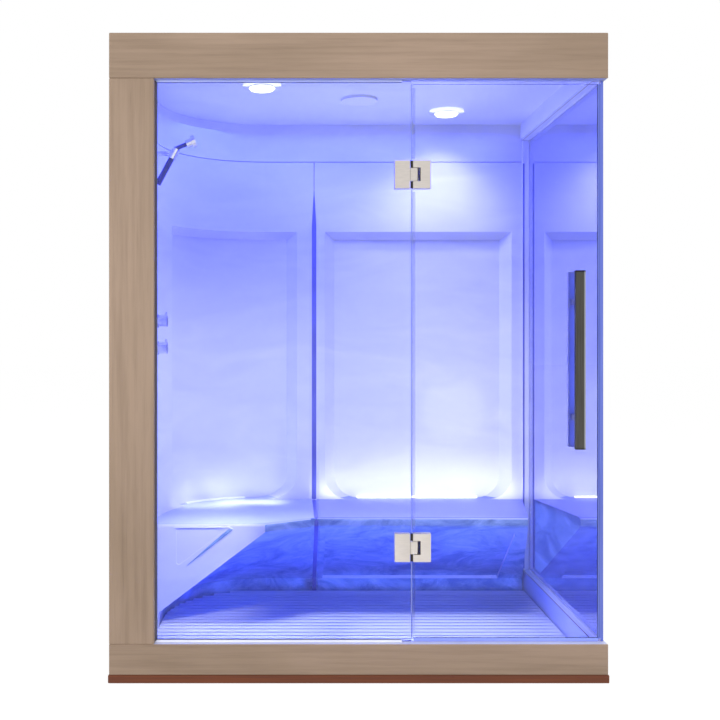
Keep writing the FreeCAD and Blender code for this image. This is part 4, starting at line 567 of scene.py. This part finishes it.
# Fin of the clear seal between the two front panes, left out at the hinges and clear of the door's swing
FIN_PROFILE = [(0.1745, -0.4886), (0.1780, -0.4868), (0.1825, -0.4848), (0.1880, -0.4844)]
FIN_SPANS = {"low": (0.147, 0.378), "mid": (0.486, 1.592), "high": (1.700, 1.931)}
for span, (low, high) in FIN_SPANS.items():
    piece(f"seal_fin_{span}", [upright(FIN_PROFILE, low, high, 0.0005)], FIN)

# Gaskets in the hinges' gaps above and below the tongue and beside its round end, dark also as painted shade of the
# gaps, and a line at its root, which is painted shade.
# A gasket is given by its limits in x, the y of its edges and its limits in z from the hinge's middle
GASKETS = (
    ((0.1705, 0.1785), -0.4997, (-0.0455, -0.0220)),
    ((0.1705, 0.1785), -0.4997, (0.0220, 0.0455)),
    ((0.1992, 0.2030), -0.4957, (-0.0218, 0.0218)),
)
GASKET_HOLLOW = 0.0006  # how far a gasket's middle lies behind its edges
ROOT_PROFILE = [(0.1687, -0.5049), (0.1693, -0.5053), (0.1699, -0.5049)]
ROOT_HALF = 0.021  # half the tongue's height
for level, height in HINGE_HEIGHTS.items():
    strips = []
    for (left, right), y, (low, high) in GASKETS:
        profile = [(left, y), ((left + right) / 2, y + GASKET_HOLLOW), (right, y)]
        strips.append(upright(profile, height + low, height + high))
    piece(f"hinge_gasket_{level}", strips, GASKET_AND_SHADE, "door")
    root = upright(ROOT_PROFILE, height - ROOT_HALF, height + ROOT_HALF, 0.0004)
    piece(f"tongue_shade_line_{level}", [root], GASKET_AND_SHADE)


# Soft edges on the CAD pieces


def soften(name, width):
    """Rounded edges by modifiers, which leave the CAD's vertices as they are."""
    node = NODES[name]
    weld = node.modifiers.new("weld", "WELD")
    weld.merge_threshold = 0.00005
    bevel = node.modifiers.new("bevel", "BEVEL")
    bevel.width = width
    bevel.segments = 2
    bevel.limit_method = "ANGLE"
    bevel.angle_limit = math.radians(35)
    bevel.harden_normals = True
    for face in node.data.polygons:
        face.use_smooth = True


for name in ("handle_bar_outer", "handle_bar_inner"):
    soften(name, 0.0012)
for level in HINGE_HEIGHTS:
    for side in ("fixed", "door"):
        soften(f"hinge_{level}_{side}_leaf", 0.0008)


# Stage: world, floor, lamps and camera


def outside_light(tree, white, dim, hidden):
    """Strength seen by each kind of ray: white for the eye, dim for the timber, hidden behind glass."""
    path = tree.nodes.new("ShaderNodeLightPath")

    def math_node(kind, a, b):
        node = tree.nodes.new("ShaderNodeMath")
        node.operation = kind
        for socket, value in zip(node.inputs, (a, b)):
            if isinstance(value, float):
                socket.default_value = value
            else:
                tree.links.new(value, socket)
        return node.outputs[0]

    diffused = math_node("GREATER_THAN", path.outputs["Diffuse Depth"], 0.5)
    through = math_node("GREATER_THAN", path.outputs["Transmission Depth"], 0.5)
    screened = math_node("MULTIPLY", diffused, through)
    seen = math_node("MAXIMUM", path.outputs["Is Camera Ray"], path.outputs["Is Glossy Ray"])
    seen = math_node("MAXIMUM", seen, path.outputs["Is Transmission Ray"])
    shown = math_node("MULTIPLY", seen, math_node("SUBTRACT", 1.0, diffused))
    lighting = math_node("ADD", dim, math_node("MULTIPLY", screened, hidden - dim))
    return math_node("ADD", math_node("MULTIPLY", shown, white),
                     math_node("MULTIPLY", math_node("SUBTRACT", 1.0, shown), lighting))


world = bpy.data.worlds.new("studio")
scene.world = world
world.use_nodes = True
background = world.node_tree.nodes["Background"]
background.inputs["Color"].default_value = (1, 1, 1, 1)
sky = outside_light(world.node_tree, white=1.0, dim=0.55, hidden=0.02)
world.node_tree.links.new(sky, background.inputs["Strength"])

FLOOR_REACH = 30.0
FLOOR_DROP = 0.0005  # keeps the floor off the part's underside
floor_mesh = bpy.data.meshes.new("studio_floor")
floor_corners = [(x * FLOOR_REACH, y * FLOOR_REACH, 0) for x, y in ((-1, -1), (1, -1), (1, 1), (-1, 1))]
floor_mesh.from_pydata(floor_corners, [], [(0, 1, 2, 3)])
floor = bpy.data.objects.new("studio_floor", floor_mesh)
floor.location.z = -FLOOR_DROP
scene.collection.objects.link(floor)
pale = Shader("studio_floor", (0.36, 0.36, 0.36), rough=0.9)
pale.set("Emission Color", (1, 1, 1, 1))
pale.feed("Emission Strength", outside_light(pale.tree, white=0.80, dim=0.0, hidden=0.0))
pale.set("Specular IOR Level", 0.0)
floor_mesh.materials.append(pale.material)

WHITE = (1, 1, 1)
COOL = (0.93, 1.0, 1.0)
DEEP_BLUE = (0.12, 0.22, 1.0)


def stage_lamp(data, at, aim, power, color):
    """Puts a lamp in the scene, aimed at a point and not seen itself."""
    data.energy = power
    data.color = color
    lamp = bpy.data.objects.new(data.name, data)
    scene.collection.objects.link(lamp)
    lamp.location = at
    lamp.rotation_mode = "QUATERNION"
    lamp.rotation_quaternion = (Vector(aim) - Vector(at)).to_track_quat("-Z", "Y")
    lamp.visible_camera = lamp.visible_glossy = lamp.visible_transmission = False


def area_lamp(name, at, aim, size, power, color=WHITE, spread=180):
    data = bpy.data.lights.new(name, "AREA")
    data.shape = "RECTANGLE"
    data.size, data.size_y = size
    data.spread = math.radians(spread)
    stage_lamp(data, at, aim, power, color)


def spot_lamp(name, at, aim, angle, power, color=WHITE):
    data = bpy.data.lights.new(name, "SPOT")
    data.spot_size = math.radians(angle)
    data.spot_blend = 1.0
    data.shadow_soft_size = 0.05
    stage_lamp(data, at, aim, power, color)


# Soft studio light
area_lamp("studio_key", (-1.6, -4.2, 1.9), (0, 0, 1.0), size=(3.0, 2.4), power=114)
area_lamp("studio_side", (3.6, -1.5, 2.4), (0, 0, 1.0), size=(2.4, 2.4), power=60)

# The cabin's blue light from above and below, and the pale light on its ceiling
area_lamp("cabin_wash", (0.0, 0.03, 1.985), (0.0, 0.03, 0.0), size=(1.35, 0.70), power=18, color=(0.038, 0.060, 1.0))
area_lamp("cabin_rise", (0.03, -0.10, 0.049), (0.03, -0.10, 2.0), size=(1.35, 0.70), power=4.6, color=(0.0, 0.06, 1.0))
area_lamp("cabin_dome", (0.08, -0.10, 1.50), (0.08, -0.10, 2.0), size=(1.2, 0.5), power=1.8, color=COOL)

# Weak lamps that even out the walls, the floor, the end of the seat and the back of the handle
area_lamp("front_wide", (0.0, -0.43, 0.88), (0.0, 0.47, 0.88), size=(1.30, 0.70), power=1.36,
          color=(0.95, 1.0, 1.0), spread=75)
area_lamp("front_right", (0.48, -0.43, 0.80), (0.48, 0.47, 0.80), size=(0.62, 0.70), power=1.95, spread=75)
area_lamp("side_right", (0.62, -0.22, 0.95), (-0.72, 0.0, 0.90), size=(0.30, 0.70), power=0.9, spread=60)
area_lamp("ceiling_line", (0.30, 0.0, 1.96), (0.30, 0.45, 1.40), size=(0.85, 0.04), power=0.32, color=COOL, spread=75)
area_lamp("floor_beam", (0.05, -0.21, 1.90), (0.05, -0.21, 0.0), size=(1.25, 0.40), power=2.2, color=COOL, spread=25)
area_lamp("seat_end", (0.785, 0.24, 0.24), (0.0, 0.24, 0.24), size=(0.40, 0.34), power=0.45,
          color=(0.25, 0.35, 1.0), spread=60)
area_lamp("handle_fill", (0.713, -0.487, 1.043), (0.713, -0.45, 1.043), size=(0.03, 0.58), power=0.15,
          color=(0.11, 0.16, 1.0))

# The right downlight on the back wall, and the light on the corner seat
spot_lamp("downlight_right", (0.403, 0.192, 1.996), (0.403, 0.45, 1.5), angle=100, power=8.2, color=(1.0, 0.97, 1.0))
spot_lamp("corner_seat", (-0.35, -0.44, 0.85), (-0.55, -0.07, 0.34), angle=46, power=12.8)

# The strips' light on the backrests and on the seats behind them
area_lamp("strip_glow_right", (0.32, 0.365, 0.432), (0.32, 0.405, 0.54), size=(0.84, 0.02), power=0.85)
area_lamp("strip_glow_mid", (-0.4006, 0.3557, 0.432), (-0.409, 0.396, 0.54), size=(0.26, 0.02), power=0.09)
area_lamp("strip_glow_left", (-0.568, 0.265, 0.432), (-0.597, 0.294, 0.54), size=(0.26, 0.02), power=0.075)
area_lamp("foot_glow_mid", (-0.39, 0.36, 0.52), (-0.39, 0.36, 0.0), size=(0.26, 0.08), power=0.17, spread=90)
area_lamp("foot_glow_left", (-0.55, 0.29, 0.52), (-0.55, 0.29, 0.0), size=(0.22, 0.10), power=0.09, spread=90)

# Blue light on the foot of the walls under the seats
area_lamp("kick_right", (0.32, 0.33, 0.075), (0.32, 0.41, 0.08), size=(0.85, 0.06), power=0.14,
          color=DEEP_BLUE, spread=75)
area_lamp("kick_left", (-0.33, 0.29, 0.075), (-0.37, 0.38, 0.08), size=(0.40, 0.06), power=0.06,
          color=DEEP_BLUE, spread=75)

# Camera at the photo's place, level, with the shift that its perspective shows
camera_data = bpy.data.cameras.new("photo_camera")
camera_data.lens = 45.7
camera_data.sensor_width = 36
camera_data.shift_x = 0.0931
camera_data.shift_y = -0.0361
camera = bpy.data.objects.new("photo_camera", camera_data)
camera.location = (-0.212, -3.475, 1.127)
camera.rotation_euler = (math.radians(90), 0, 0)
scene.collection.objects.link(camera)
scene.camera = camera
